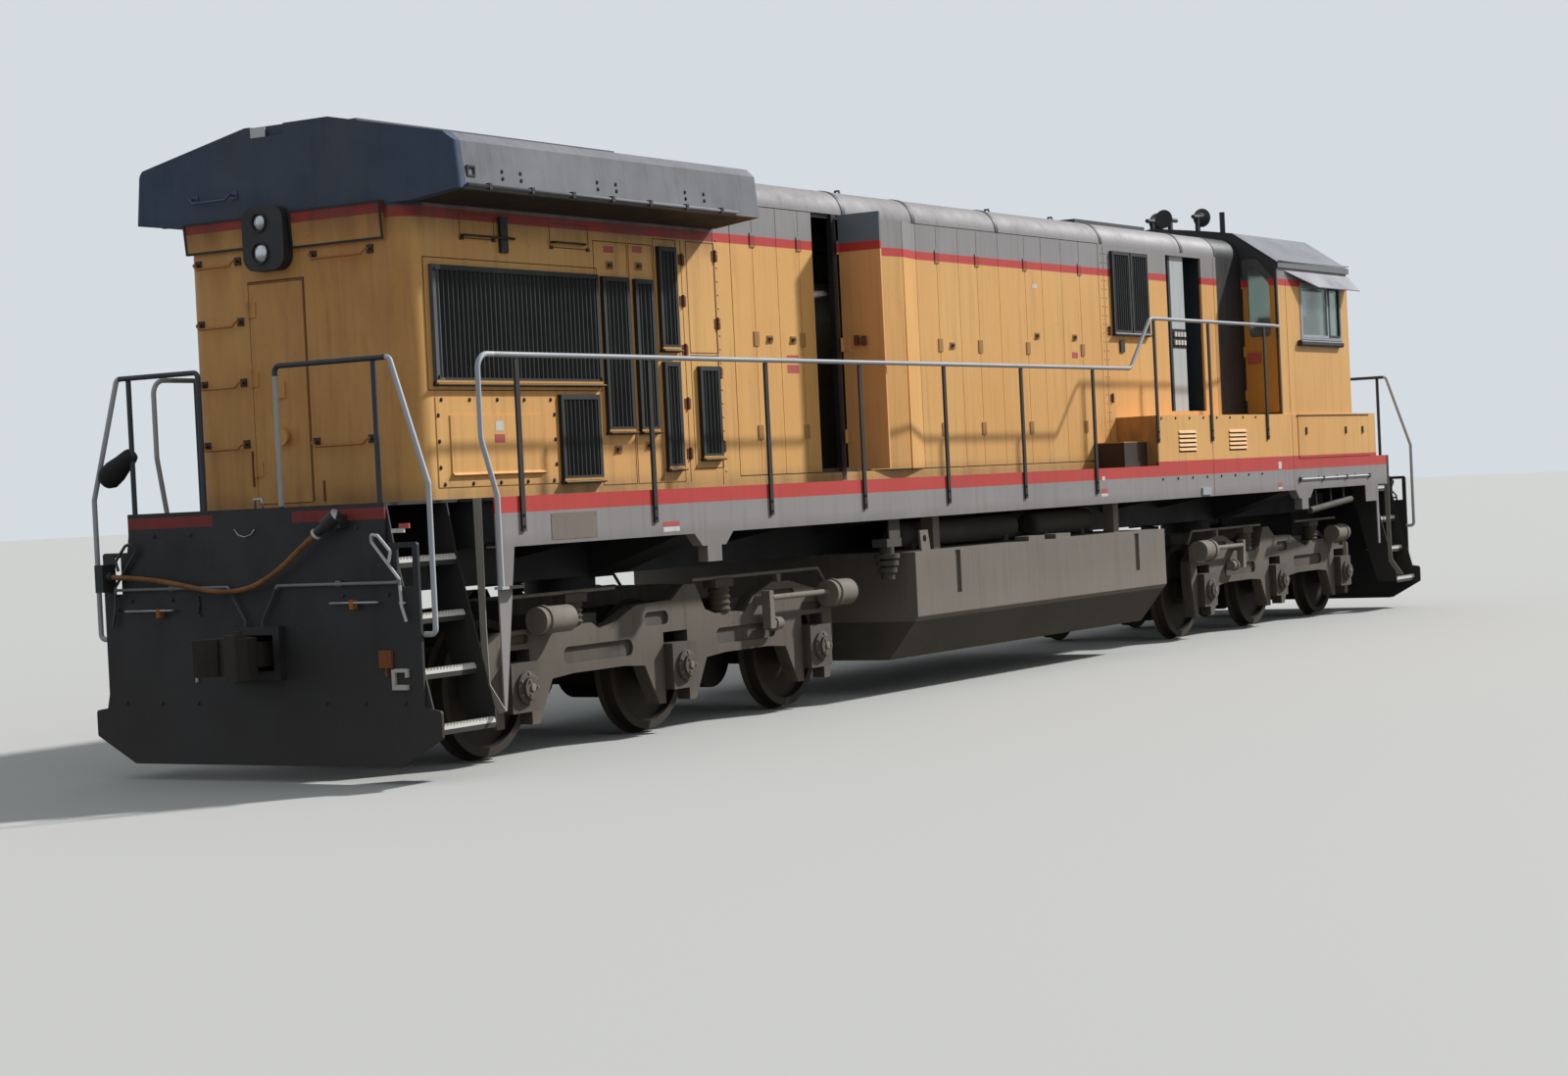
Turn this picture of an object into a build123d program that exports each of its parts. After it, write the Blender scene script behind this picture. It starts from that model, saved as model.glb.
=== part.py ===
from build123d import *
import math
import os

# Six-axle diesel road locomotive, millimetres.
# +X points to the cab end, +Y to the left side, +Z up.
# The origin is under the middle of the locomotive, level with the lowest point of the wheel flanges.

os.makedirs("parts", exist_ok=True)

# Running gear
WHEEL_RADIUS = 508
FLANGE_HEIGHT = 28
FLANGE_WIDTH = 34
RIM_WIDTH = 140
RIM_DEPTH = 66
BACK_TO_BACK = 1353
AXLE_Z = WHEEL_RADIUS + FLANGE_HEIGHT
AXLE_RADIUS = 102
JOURNAL_RADIUS = 84
JOURNAL_REACH = 1205
HUB_RADIUS = 150
HUB_PROUD = 30
WEB_THICKNESS = 34
BULL_GEAR_RADIUS = 330
BULL_GEAR_Y = (330, 450)
TRUCK_CENTRE_X = 6220
AXLE_PITCH = 2070
BEARING_GAP = 0.3

# Truck frame
FRAME_INNER_Y = 985
FRAME_OUTER_Y = 1105
FRAME_END_X = 2400
PEDESTAL_HALF = 168
PEDESTAL_TOP_Z = 806
PEDESTAL_FOOT_Z = 250
PEDESTAL_TOE = 90
BOX_OUTER_Y = 1250
TRANSOM_X = 1035
TRANSOM_HALF = 150
TRANSOM_BOTTOM_Z = 850
TRANSOM_TOP_Z = 1010
CENTRE_BEAM_HALF = 330
CENTRE_BEAM_TOP_Z = 1130
CENTRE_PLATE_RADIUS = 290
CENTRE_BOWL_DEPTH = 55
SPRING_RADIUS = 92
SPRING_RINGS = 4
SPRING_FOOT_Z = 945
SPRING_FOOT_Z_LOW = 905
SPRING_TOP_Z = 1110
SPRING_CAP_TOP_Z = 1175

# Underframe
DECK_TOP_Z = 1925
DECK_PLATE = 22
DECK_UNDER_Z = DECK_TOP_Z - DECK_PLATE
SIDE_Y = 1518
SKIRT_BOTTOM_Z = 1571
SKIRT_PLATE = 12
SKIRT_INNER_Y = SIDE_Y - SKIRT_PLATE
SKIRT_FLANGE = 80
SKIRT_END_X = 8977
END_X = 9790
END_PLATE = 24
PLATFORM_HALF = 1200
SILL_INNER_Y = 235
SILL_OUTER_Y = 470
SILL_BOTTOM_Z = 1270
SILL_END_X = 9500
BODY_BOLSTER_HALF = 240
OUTRIGGER_PITCH = 1480
OUTRIGGER_PLATE = 14
COUPLER_Z = 904
COUPLER_FACE_X = 10249
POCKET_REAR_X = 9010
POCKET_HALF = 190
POCKET_TOP_Z = 1040
POCKET_BOTTOM_Z = 762

# Long hood
HOOD_HALF = 1061
HOOD_WALL = 26
HOOD_CORNER = 230
HOOD_TOP_Z = 4480
HOOD_EAVE_Z = HOOD_TOP_Z - HOOD_CORNER
END_WALL_X = -9232
END_CORNER = 190
RADIATOR_FRONT_X = -5350
ENGINE_FRONT_X = 2034
CAB_REAR_X = 5676
CAB_FRONT_X = 7912
WING_HALF = 1531
WING_BOTTOM_Z = 4070
WING_ROOT_Z = 4019
WING_ROOT_Y = HOOD_HALF + 43
WING_TOP_Z = 4677
WING_TOP_HALF = 396
WING_SHEET = 14
WING_CAP = 110
WING_CAP_ROUND = 60

# Engine room doors, hung in folding pairs
DOOR_BOTTOM_Z = 2008
DOOR_TOP_Z = 4243
DOOR_SHEET = 22
DOOR_GAP = 8
DOOR_FRAME_DEPTH = 30
DOOR_OVERLAP = 30
EMPTY_DOORWAY_REAR_X = -3780
OPEN_LEAF_HINGE_X = -3372
OPEN_LEAF_WIDTH = 415
HINGE_RADIUS = 11
HINGE_GAP = 0.3
HINGE_OFFSET = 6
HINGE_LENGTH = 120
FOLD_CREASE_X = -2335
FOLD_BULGE = 80

# Fuel tank
TANK_REAR_X = -3020
TANK_FRONT_X = 2270
TANK_TOP_Z = SILL_BOTTOM_Z
TANK_SIDE_Y = SIDE_Y - 8
TANK_KNEE_Z = 700
TANK_BOTTOM_Z = 320
TANK_BOTTOM_HALF = 1200
RESERVOIR_RADIUS = 120
RESERVOIR_Y = 1000

# Raised boxes beside the cab
BOX_REAR_X = 2187
BOX_FRONT_X = 8631
BOX_TOP_Z = 2445
BOX_SHEET = 12

# Cab
CAB_HALF = SIDE_Y + 3
CAB_WALL = 40
CAB_EAVE_Z = 4180
CAB_KNEE_Y = 984
CAB_KNEE_Z = 4551
CAB_SHOULDER_Y = 644
CAB_SHOULDER_Z = 4605
CAB_TOP_Z = 4690
ROOF_SHEET = 24
ROOF_SKIRT = 60
CAB_WALL_Y = CAB_HALF - ROOF_SHEET
CAB_DOOR_INNER_Y = HOOD_HALF + 23
CAB_DOOR_OUTER_Y = CAB_HALF - 51
CAB_DOOR_BOTTOM_Z = BOX_TOP_Z + 25
CAB_DOOR_TOP_Z = 4235
CAB_DOOR_SHEET = 36
DOOR_RUNNING_GAP = 6
GLASS = 8

# Short hood
NOSE_FRONT_X = 9180
NOSE_HALF = 760
NOSE_TOP_Z = 3290
NOSE_SHEET = 16
NOSE_CORNER = 120

# Handrails
RAIL_RADIUS = 19
RAIL_Y = 1536
RAIL_Z = 2923
RAIL_HIGH_Z = 3445
STANCHION_WIDTH = 46
STANCHION_DEPTH = RAIL_Y - SIDE_Y
STANCHION_FOOT_Z = 1675
STANCHION_FOOT_HIGH_Z = 2160


def block(x0, x1, y0, y1, z0, z1):
    centre = Pos((x0 + x1) / 2, (y0 + y1) / 2, (z0 + z1) / 2)
    return centre * Box(abs(x1 - x0), abs(y1 - y0), abs(z1 - z0))


def outline(points):
    return make_face(Polyline(*points, close=True))


def along_x(points, x0, x1):
    # points are (y, z)
    return extrude(Plane.YZ.offset(x0) * outline(points), x1 - x0)


def along_y(points, y0, y1):
    # points are (x, z)
    return extrude(Plane.XZ.offset(-y1) * outline(points), y1 - y0)


def along_z(points, z0, z1):
    # points are (x, y)
    return extrude(Plane.XY.offset(z0) * outline(points), z1 - z0)


def rod(start, end, radius):
    start, end = Vector(*start), Vector(*end)
    place = Plane(origin=start, z_dir=end - start)
    return extrude(place * Circle(radius), (end - start).length)


def tube(points, bend, radius):
    # Straight rods and sections of a ring, each one solid that meets the next face to face
    if len(points) == 2:
        return [rod(*points, radius)]
    pieces = []
    for run in FilletPolyline(*points, radius=bend).edges():
        start, way = run @ 0, run % 0
        if run.geom_type == GeomType.LINE:
            pieces.append(rod(start, run @ 1, radius))
        else:
            around = Axis(run.arc_center, (start - run.arc_center).cross(way))
            section = Plane(origin=start, z_dir=way) * Circle(radius)
            pieces.append(revolve(section, around, math.degrees(run.length / run.radius)))
    return pieces


def mirrored(points):
    # A half outline from the middle outwards, completed about y = 0
    return list(points) + [(-y, z) for y, z in reversed(points) if y > 0]


def both_sides(shapes):
    shapes = shapes if isinstance(shapes, list) else [shapes]
    return shapes + [mirror(shape, about=Plane.XZ) for shape in shapes]


def right_side(shapes):
    return [mirror(shape, about=Plane.XZ) for shape in shapes]


def turned(shapes):
    # The same pieces at the other end
    return [Rot(0, 0, 180) * shape for shape in shapes]


def fused(shapes):
    whole = shapes[0]
    for shape in shapes[1:]:
        whole = whole + shape
    return whole


def folded_sheet(outer, inner, x0, x1):
    # A sheet folded along its length, one flat strip for each pair of folds
    strips = []
    for index in range(len(outer) - 1):
        strip = [outer[index], outer[index + 1], inner[index + 1], inner[index]]
        strips.append(along_x(strip, x0, x1))
    return strips


def over_ridge(half):
    # A half outline from the ridge to the eave becomes one line from eave to eave
    return [(-y, z) for y, z in reversed(half)] + [(y, z) for y, z in half if y > 0]


def wall_panels(x0, x1, z0, z1, openings):
    # The plain rectangles that an upright wall is welded from, round its openings (x0, x1, z0, z1)
    cuts = sorted({x0, x1} | {x for opening in openings for x in opening[:2]})
    panels = []
    for left, right in zip(cuts, cuts[1:]):
        low = z0
        column = [o for o in openings if o[0] <= left and right <= o[1]]
        for opening in sorted(column, key=lambda o: o[2]) + [(left, right, z1, z1)]:
            if opening[2] > low:
                joined = [p for p in panels if p[1:] == [left, low, opening[2]]]
                if joined:
                    joined[0][1] = right
                else:
                    panels.append([left, right, low, opening[2]])
            low = opening[3]
    return panels


def side_wall(side, x0, x1, z0, z1, openings):
    face, inner = side * HOOD_HALF, side * (HOOD_HALF - HOOD_WALL)
    return [block(a, b, inner, face, low, high) for a, b, low, high in wall_panels(x0, x1, z0, z1, openings)]


def upright_corner(x, y, x_way, y_way, radius, sheet, z0, z1):
    # Rounded corner of a sheet box; (x, y) is the centre of its curve
    ring = rod((x, y, z0), (x, y, z1), radius) - rod((x, y, z0 - 1), (x, y, z1 + 1), radius - sheet)
    return ring & block(x, x + x_way * radius, y, y + y_way * radius, z0, z1)


def save(name, *shapes):
    solids = []
    for shape in shapes:
        solids.extend(shape.solids())
    whole = solids[0] if len(solids) == 1 else Compound(children=solids)
    export_step(whole, f"parts/{name}.step")


# Underframe: deck, two centre sills, body bolsters, outriggers and draft pockets
def underframe():
    deck_end = END_X - END_PLATE
    pieces = [block(-deck_end, deck_end, -PLATFORM_HALF, PLATFORM_HALF, DECK_UNDER_Z, DECK_TOP_Z)]
    half = [block(-SKIRT_END_X, SKIRT_END_X, PLATFORM_HALF, SKIRT_INNER_Y, DECK_UNDER_Z, DECK_TOP_Z),
            block(-SILL_END_X, SILL_END_X, SILL_INNER_Y, SILL_OUTER_Y, SILL_BOTTOM_Z, DECK_UNDER_Z)]
    bolster = [(SILL_OUTER_Y, SILL_BOTTOM_Z), (SKIRT_INNER_Y, SKIRT_BOTTOM_Z + 40),
               (SKIRT_INNER_Y, DECK_UNDER_Z), (SILL_OUTER_Y, DECK_UNDER_Z)]
    outrigger = [(SILL_OUTER_Y, SKIRT_BOTTOM_Z - 120), (SKIRT_INNER_Y, SKIRT_BOTTOM_Z + 60),
                 (SKIRT_INNER_Y, DECK_UNDER_Z), (SILL_OUTER_Y, DECK_UNDER_Z)]
    for x in (-TRUCK_CENTRE_X, TRUCK_CENTRE_X):
        rear, front = x - BODY_BOLSTER_HALF, x + BODY_BOLSTER_HALF
        half.append(along_x(bolster, rear, front))
        pieces.append(block(rear, front, -SILL_INNER_Y, SILL_INNER_Y, SILL_BOTTOM_Z, DECK_UNDER_Z))
        plate_bottom = CENTRE_BEAM_TOP_Z - CENTRE_BOWL_DEPTH + BEARING_GAP
        pieces.append(rod((x, 0, SILL_BOTTOM_Z), (x, 0, plate_bottom), CENTRE_PLATE_RADIUS))
    reach = int(SKIRT_END_X / OUTRIGGER_PITCH)
    for index in range(-reach, reach + 1):
        x = index * OUTRIGGER_PITCH
        if abs(abs(x) - TRUCK_CENTRE_X) > BODY_BOLSTER_HALF + OUTRIGGER_PITCH / 4:
            half.append(along_x(outrigger, x - OUTRIGGER_PLATE / 2, x + OUTRIGGER_PLATE / 2))
    pieces.extend(both_sides(half))
    pocket = []
    for side in (-1, 1):
        pocket.append(block(POCKET_REAR_X, deck_end, side * POCKET_HALF, side * SILL_INNER_Y,
                            POCKET_BOTTOM_Z, DECK_UNDER_Z))
    for z in (POCKET_BOTTOM_Z, POCKET_TOP_Z):
        pocket.append(block(POCKET_REAR_X, deck_end, -POCKET_HALF, POCKET_HALF, z, z + END_PLATE))
    pocket.append(block(POCKET_REAR_X - END_PLATE, POCKET_REAR_X, -SILL_INNER_Y, SILL_INNER_Y,
                        POCKET_BOTTOM_Z, DECK_UNDER_Z))
    return pieces + pocket + turned(pocket)


# Side sills: the deep skirt each side, its bottom flange, jacking pads and end legs
PAD_TOP_HALF = 275
PAD_BOTTOM_HALF = 165
PAD_DEPTH = 100
PAD_BLOCK_HALF = 100
PAD_BLOCK_DEPTH = 125
# strips riveted in a row on the skirt below the battery box: x rear, x front, z bottom, z top
SKIRT_STRIPS = (6081, 8411, 1665, 1727)
STRIP_COUNT = 4
STRIP_GAP = 40
STRIP_DEPTH = 8
# outer edge first, x from the end of the skirt inwards, then z
REAR_LEG = ((0, SKIRT_BOTTOM_Z), (200, SKIRT_BOTTOM_Z), (28, 430), (0, 430))
FRONT_LEG = ((330, SKIRT_BOTTOM_Z), (770, SKIRT_BOTTOM_Z), (765, 1373), (405, 1373), (385, 850), (330, 850))


def side_sill():
    flange_y = SKIRT_INNER_Y - SKIRT_FLANGE
    pieces = [block(-SKIRT_END_X, SKIRT_END_X, SKIRT_INNER_Y, SIDE_Y, SKIRT_BOTTOM_Z, DECK_TOP_Z),
              block(-SKIRT_END_X, SKIRT_END_X, flange_y, SKIRT_INNER_Y, SKIRT_BOTTOM_Z,
                    SKIRT_BOTTOM_Z + SKIRT_PLATE)]
    pad_z = SKIRT_BOTTOM_Z - PAD_DEPTH
    for x in (-TRUCK_CENTRE_X, TRUCK_CENTRE_X):
        pad = [(x - PAD_TOP_HALF, SKIRT_BOTTOM_Z), (x - PAD_BOTTOM_HALF, pad_z),
               (x + PAD_BOTTOM_HALF, pad_z), (x + PAD_TOP_HALF, SKIRT_BOTTOM_Z)]
        pieces.append(along_y(pad, flange_y, SIDE_Y))
        pieces.append(block(x - PAD_BLOCK_HALF, x + PAD_BLOCK_HALF, flange_y, SIDE_Y,
                            pad_z - PAD_BLOCK_DEPTH, pad_z))
    for end, leg in ((-1, REAR_LEG), (1, FRONT_LEG)):
        points = [(end * (SKIRT_END_X - inset), z) for inset, z in leg]
        pieces.append(along_y(points, SKIRT_INNER_Y, SIDE_Y))
    x0, x1, z0, z1 = SKIRT_STRIPS
    pitch = (x1 - x0 + STRIP_GAP) / STRIP_COUNT
    for index in range(STRIP_COUNT):
        x = x0 + pitch * index
        pieces.append(block(x, x + pitch - STRIP_GAP, SIDE_Y, SIDE_Y + STRIP_DEPTH, z0, z1))
    return pieces


# Pilots: the plate across each end, its striking box, folded foot and coupler mouth
PILOT_BOTTOM_Z = 120
PILOT_TOE_Y = 1240
PILOT_TOE_Z = 320
PILOT_EAR_Y = 1610
PILOT_EAR_TOP_Z = 505
PILOT_SIDE_Y = 1470
PILOT_SHOULDER_Z = 1650
PILOT_LIP = 96
STRIKER_DEPTH = 60
STRIKER_RIM = 60
# a slot near each upper corner of the plate: inner y, outer y, bottom z, top z
PILOT_SLOT = (1290, 1425, 1350, 1615)


def pilot():
    half = [(0, PILOT_BOTTOM_Z), (PILOT_TOE_Y, PILOT_BOTTOM_Z), (PILOT_EAR_Y, PILOT_TOE_Z),
            (PILOT_EAR_Y, PILOT_EAR_TOP_Z), (PILOT_SIDE_Y, PILOT_EAR_TOP_Z + 20),
            (PILOT_SIDE_Y, PILOT_SHOULDER_Z), (PLATFORM_HALF, PILOT_SHOULDER_Z),
            (PLATFORM_HALF, DECK_TOP_Z), (0, DECK_TOP_Z)]
    inner_x = END_X - END_PLATE
    plate = along_x(mirrored(half), inner_x, END_X)
    round_edges = plate.edges().filter_by(Axis.X).filter_by(lambda e: abs(e.center().Y) > PLATFORM_HALF + 1)
    plate = fillet(round_edges, 24)
    mouth_low, mouth_high = POCKET_BOTTOM_Z + END_PLATE, POCKET_TOP_Z
    plate = plate - block(inner_x - 1, END_X + 1, -POCKET_HALF, POCKET_HALF, mouth_low, mouth_high)
    y0, y1, z0, z1 = PILOT_SLOT
    for side in (-1, 1):
        plate = plate - block(inner_x - 1, END_X + 1, side * y0, side * y1, z0, z1)
    striker = block(END_X, END_X + STRIKER_DEPTH, -POCKET_HALF - STRIKER_RIM, POCKET_HALF + STRIKER_RIM,
                    mouth_low - STRIKER_RIM, mouth_high + STRIKER_RIM)
    striker = striker - block(END_X - 1, END_X + STRIKER_DEPTH + 1, -POCKET_HALF, POCKET_HALF,
                              mouth_low, mouth_high)
    lip = block(inner_x - PILOT_LIP, inner_x, -PILOT_TOE_Y, PILOT_TOE_Y, PILOT_BOTTOM_Z, PILOT_BOTTOM_Z + 20)
    return [plate, striker, lip]


# Uncoupling levers on the pilot: a loop handle by the right corner and a long rod to the coupler
LEVER_RADIUS = 11
LEVER_X = END_X + 30
LEVER_BEND = 22
LEVER_STEP = 26
# columns: y, z
LEVER_HANDLE = ((1373, 1114), (1338, 1215), (1327, 1404), (1100, 1662), (1122, 1712), (1180, 1702),
                (1286, 1590), (1262, 1520))
LEVER_ROD_Z = 1381
LEVER_CLIP_HALF = 20
# the long rod ends on the top of the striker: y of its bend, y of its foot, z of its last bend
LEVER_FOOT = (230, 80, 1135)
# clips on the pilot: y, bottom z, height
LEVER_CLIPS = ((1336, 1234, 14), (780, 1366, 40))


def uncoupling_lever():
    points = [(LEVER_X + LEVER_STEP * (index > 3), y, z) for index, (y, z) in enumerate(LEVER_HANDLE)]
    pieces = tube(points, LEVER_BEND, LEVER_RADIUS)
    reach = LEVER_HANDLE[2][0] - LEVER_RADIUS
    bend_y, foot_y, bend_z = LEVER_FOOT
    route = [(reach, LEVER_ROD_Z), (bend_y, LEVER_ROD_Z), (foot_y, bend_z),
             (foot_y, POCKET_TOP_Z + STRIKER_RIM)]
    pieces += tube([(LEVER_X, y, z) for y, z in route], LEVER_BEND, LEVER_RADIUS)
    clips = []
    for y, z, height in LEVER_CLIPS:
        clip = block(END_X, LEVER_X, y - LEVER_CLIP_HALF, y + LEVER_CLIP_HALF, z, z + height)
        for piece in pieces:
            clip = clip - piece
        clips.append(clip)
    return pieces + clips


# Steps at the four corners
# columns: tread top z, outer y
TREADS = ((1520, 1262), (1130, 1318), (755, 1392), (380, 1540))
TREAD_DEPTH = 250
TREAD_PLATE = 26
STEP_INNER_X = 9118
STEP_OUTER_X = END_X - END_PLATE
STRINGER_PLATE = 14
TOE_PLATE = 6
TOE_HEIGHT = 46


def steps():
    top_z, top_y = TREADS[0]
    foot_z, foot_y = TREADS[-1]
    stringer = [(top_y - TREAD_DEPTH, DECK_UNDER_Z), (PLATFORM_HALF, DECK_UNDER_Z), (top_y, top_z + 40),
                (foot_y, foot_z + 60), (foot_y, foot_z - TREAD_PLATE),
                (foot_y - TREAD_DEPTH, foot_z - TREAD_PLATE),
                (top_y - TREAD_DEPTH, top_z - 120)]
    pieces = [along_x(stringer, STEP_INNER_X - STRINGER_PLATE, STEP_INNER_X),
              along_x(stringer, STEP_OUTER_X - STRINGER_PLATE, STEP_OUTER_X)]
    inner, outer = STEP_INNER_X, STEP_OUTER_X - STRINGER_PLATE
    for z, y in TREADS:
        pieces.append(block(inner, outer, y - TREAD_DEPTH, y - TOE_PLATE, z - TREAD_PLATE, z))
        pieces.append(block(inner, outer, y - TOE_PLATE, y, z - TOE_HEIGHT, z + 6))
    return pieces


# Side handrails with their stanchions
STANCHIONS = (-8668, -7019, -5369, -3870, -2376, -864, 691)
HIGH_STANCHIONS = (2194, 3598, 5166)
RAIL_END_X = 9120
RAIL_BEND = 110
RAIL_FOOT_X = RAIL_END_X - 110
RAIL_FOOT_Y = RAIL_Y + 34
RAIL_CAB_Y = CAB_DOOR_OUTER_Y + 30
# levels of its foot and of the two bends above it
RAIL_LEVELS = (1300, 1930, 2340)
# places along the hood where it starts to climb and where it is up
RAIL_CLIMB = (1558, 2087)
RAIL_STRAP = 20


def side_handrail():
    foot_z, low_z, upright_z = RAIL_LEVELS
    points = [(-RAIL_FOOT_X, RAIL_FOOT_Y, foot_z), (-RAIL_FOOT_X, RAIL_FOOT_Y, low_z),
              (-RAIL_END_X, RAIL_Y, upright_z), (-RAIL_END_X, RAIL_Y, RAIL_Z),
              (RAIL_CLIMB[0], RAIL_Y, RAIL_Z), (RAIL_CLIMB[1], RAIL_Y, RAIL_HIGH_Z),
              (CAB_REAR_X - 260, RAIL_Y, RAIL_HIGH_Z), (CAB_REAR_X, RAIL_CAB_Y, RAIL_HIGH_Z)]
    pieces = tube(points, RAIL_BEND, RAIL_RADIUS)
    # columns: places of the stanchions, their foot, the rail above them
    rows = ((STANCHIONS, STANCHION_FOOT_Z, RAIL_Z), (HIGH_STANCHIONS, STANCHION_FOOT_HIGH_Z, RAIL_HIGH_Z))
    half = STANCHION_WIDTH / 2
    for places, low, rail in rows:
        for x in places:
            pieces.append(block(x - half, x + half, SIDE_Y, SIDE_Y + STANCHION_DEPTH, low, rail - RAIL_RADIUS))
    # A short strap carries the rail's foot on the skirt's end leg
    pieces.append(block(-RAIL_FOOT_X - RAIL_RADIUS, 200 - SKIRT_END_X, SIDE_Y, RAIL_FOOT_Y + RAIL_RADIUS,
                        foot_z - RAIL_STRAP, foot_z))
    return pieces


# End handrails, as they stand at the rear end
END_RAIL_X = END_X - 40
END_RAIL_Z = 2910
END_RAIL_FOOT_Z = 1022
# the end rail's shoulder: y where it starts to drop, y and z where it hangs straight down
END_RAIL_SHOULDER = (1277, 1565, 2040)
END_RAIL_BEND = 42
# columns: side, inner post y, outer post y
END_RAILS = ((1, 480, 1200), (-1, 245, 1135))


def end_handrails():
    made = []
    x = -END_RAIL_X
    drop_y, low_y, low_z = END_RAIL_SHOULDER
    for side, inner, outer in END_RAILS:
        outer = min(outer, PLATFORM_HALF - 2 * RAIL_RADIUS)
        route = [(inner, DECK_TOP_Z), (inner, END_RAIL_Z), (drop_y, END_RAIL_Z), (low_y, low_z),
                 (low_y, END_RAIL_FOOT_Z), (PILOT_SIDE_Y, END_RAIL_FOOT_Z)]
        made += tube([(x, side * y, z) for y, z in route], END_RAIL_BEND, RAIL_RADIUS)
        made.append(rod((x, side * outer, DECK_TOP_Z), (x, side * outer, END_RAIL_Z - RAIL_RADIUS),
                        RAIL_RADIUS))
    return made


# Grab irons on the end wall: two feet, a drop and a rung
GRAB_RADIUS = 9
GRAB_REACH = 62
GRAB_DROP = 34
GRAB_BEND = 16
GRAB_FOOT = 30
# columns: y of one foot, y of the other, z
END_WALL_GRABS = ((520, 905, 2396), (520, 905, 2843), (520, 905, 3285), (520, 905, 3725), (520, 905, 4205),
                  (-200, -727, 3712), (-149, -660, 2380))


def grab_irons():
    made = []
    for y0, y1, z in END_WALL_GRABS:
        out, low = END_WALL_X - GRAB_REACH, z - GRAB_DROP
        way = math.copysign(GRAB_DROP, y1 - y0)
        made += tube([(END_WALL_X, y0, z), (out, y0, z), (out, y0 + way, low), (out, y1 - way, low),
                      (out, y1, z),
                      (END_WALL_X, y1, z)], GRAB_BEND, GRAB_RADIUS)
        for y in (y0, y1):
            foot = block(END_WALL_X - 8, END_WALL_X, y - GRAB_FOOT, y + GRAB_FOOT, z - GRAB_FOOT,
                         z + GRAB_FOOT)
            made.append(foot - rod((END_WALL_X - 9, y, z), (END_WALL_X + 1, y, z), GRAB_RADIUS))
    return made


# Fuel tank: bevelled body, recessed sight strips, lifting lugs, hangers and pads on top
TANK_FILLET = 14
# columns: x rear, x front, bottom z, top z
TANK_STRIPS = ((-2286, -2190, 872, 1255), (1528, 1632, 872, 1248))
TANK_STRIP_DEPTH = 25
TANK_HANGERS = (-2240, 1560)
TANK_HANGER_Y = (1180, 1300)
TANK_PADS = ((-762, -430), (-188, 131))
TANK_PAD_Y = (1330, 1480)
TANK_PAD_HEIGHT = 46
TANK_LUG = (-2831, -2666)


def fuel_tank():
    half = [(0, TANK_TOP_Z), (TANK_SIDE_Y, TANK_TOP_Z), (TANK_SIDE_Y, TANK_KNEE_Z),
            (TANK_BOTTOM_HALF, TANK_BOTTOM_Z), (0, TANK_BOTTOM_Z)]
    tank = along_x(mirrored(half), TANK_REAR_X, TANK_FRONT_X)
    knees = tank.edges().filter_by(Axis.X).filter_by(lambda e: e.center().Z < TANK_TOP_Z - 1)
    tank = fillet(knees, TANK_FILLET)
    pieces = []
    for x0, x1, z0, z1 in TANK_STRIPS:
        for side in (-1, 1):
            tank = tank - block(x0, x1, side * (TANK_SIDE_Y - TANK_STRIP_DEPTH), side * (TANK_SIDE_Y + 1), z0,
                                z1)
    for x in TANK_HANGERS:
        pieces.append(block(x - 60, x + 60, *TANK_HANGER_Y, TANK_TOP_Z, SKIRT_BOTTOM_Z))
    for x0, x1 in TANK_PADS:
        pieces.append(block(x0, x1, *TANK_PAD_Y, TANK_TOP_Z, TANK_TOP_Z + TANK_PAD_HEIGHT))
    x0, x1 = TANK_LUG
    middle = (x0 + x1) / 2
    lug = along_y([(x0 + 20, TANK_TOP_Z), (x1 + 20, TANK_TOP_Z), (x1 - 20, 1455), (x0, 1455)], 1440, 1460)
    pieces.append(lug - rod((middle, 1430, 1380), (middle, 1470, 1380), 32))
    return [tank] + both_sides(pieces)


# Gear under the frame: two air reservoirs on saddles, a filter and a pipe with hangers by the front truck
# columns: x rear, x front
RESERVOIRS = ((-2540, -220), (140, 1460))
RESERVOIR_CAP = 60
SADDLE_HALF = 40
FILTER_X = -3330
FILTER_Y = 1400
# columns: radius, bottom z, top z
FILTER_RINGS = ((62, 1050, 1110), (84, 1110, 1150), (58, 1150, 1170), (100, 1170, 1210), (60, 1210, 1232),
                (112, 1232, 1270), (64, 1270, 1330))
FILTER_BRACKET = 70
PIPE_Y = 1440
PIPE_RADIUS = 38
# the pipe's ends: x, z
PIPE_ENDS = ((6547, 1321), (7887, 1414))
PIPE_HANGERS = (6760, 7230, 7650)
HANGER_RADIUS = 12


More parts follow.
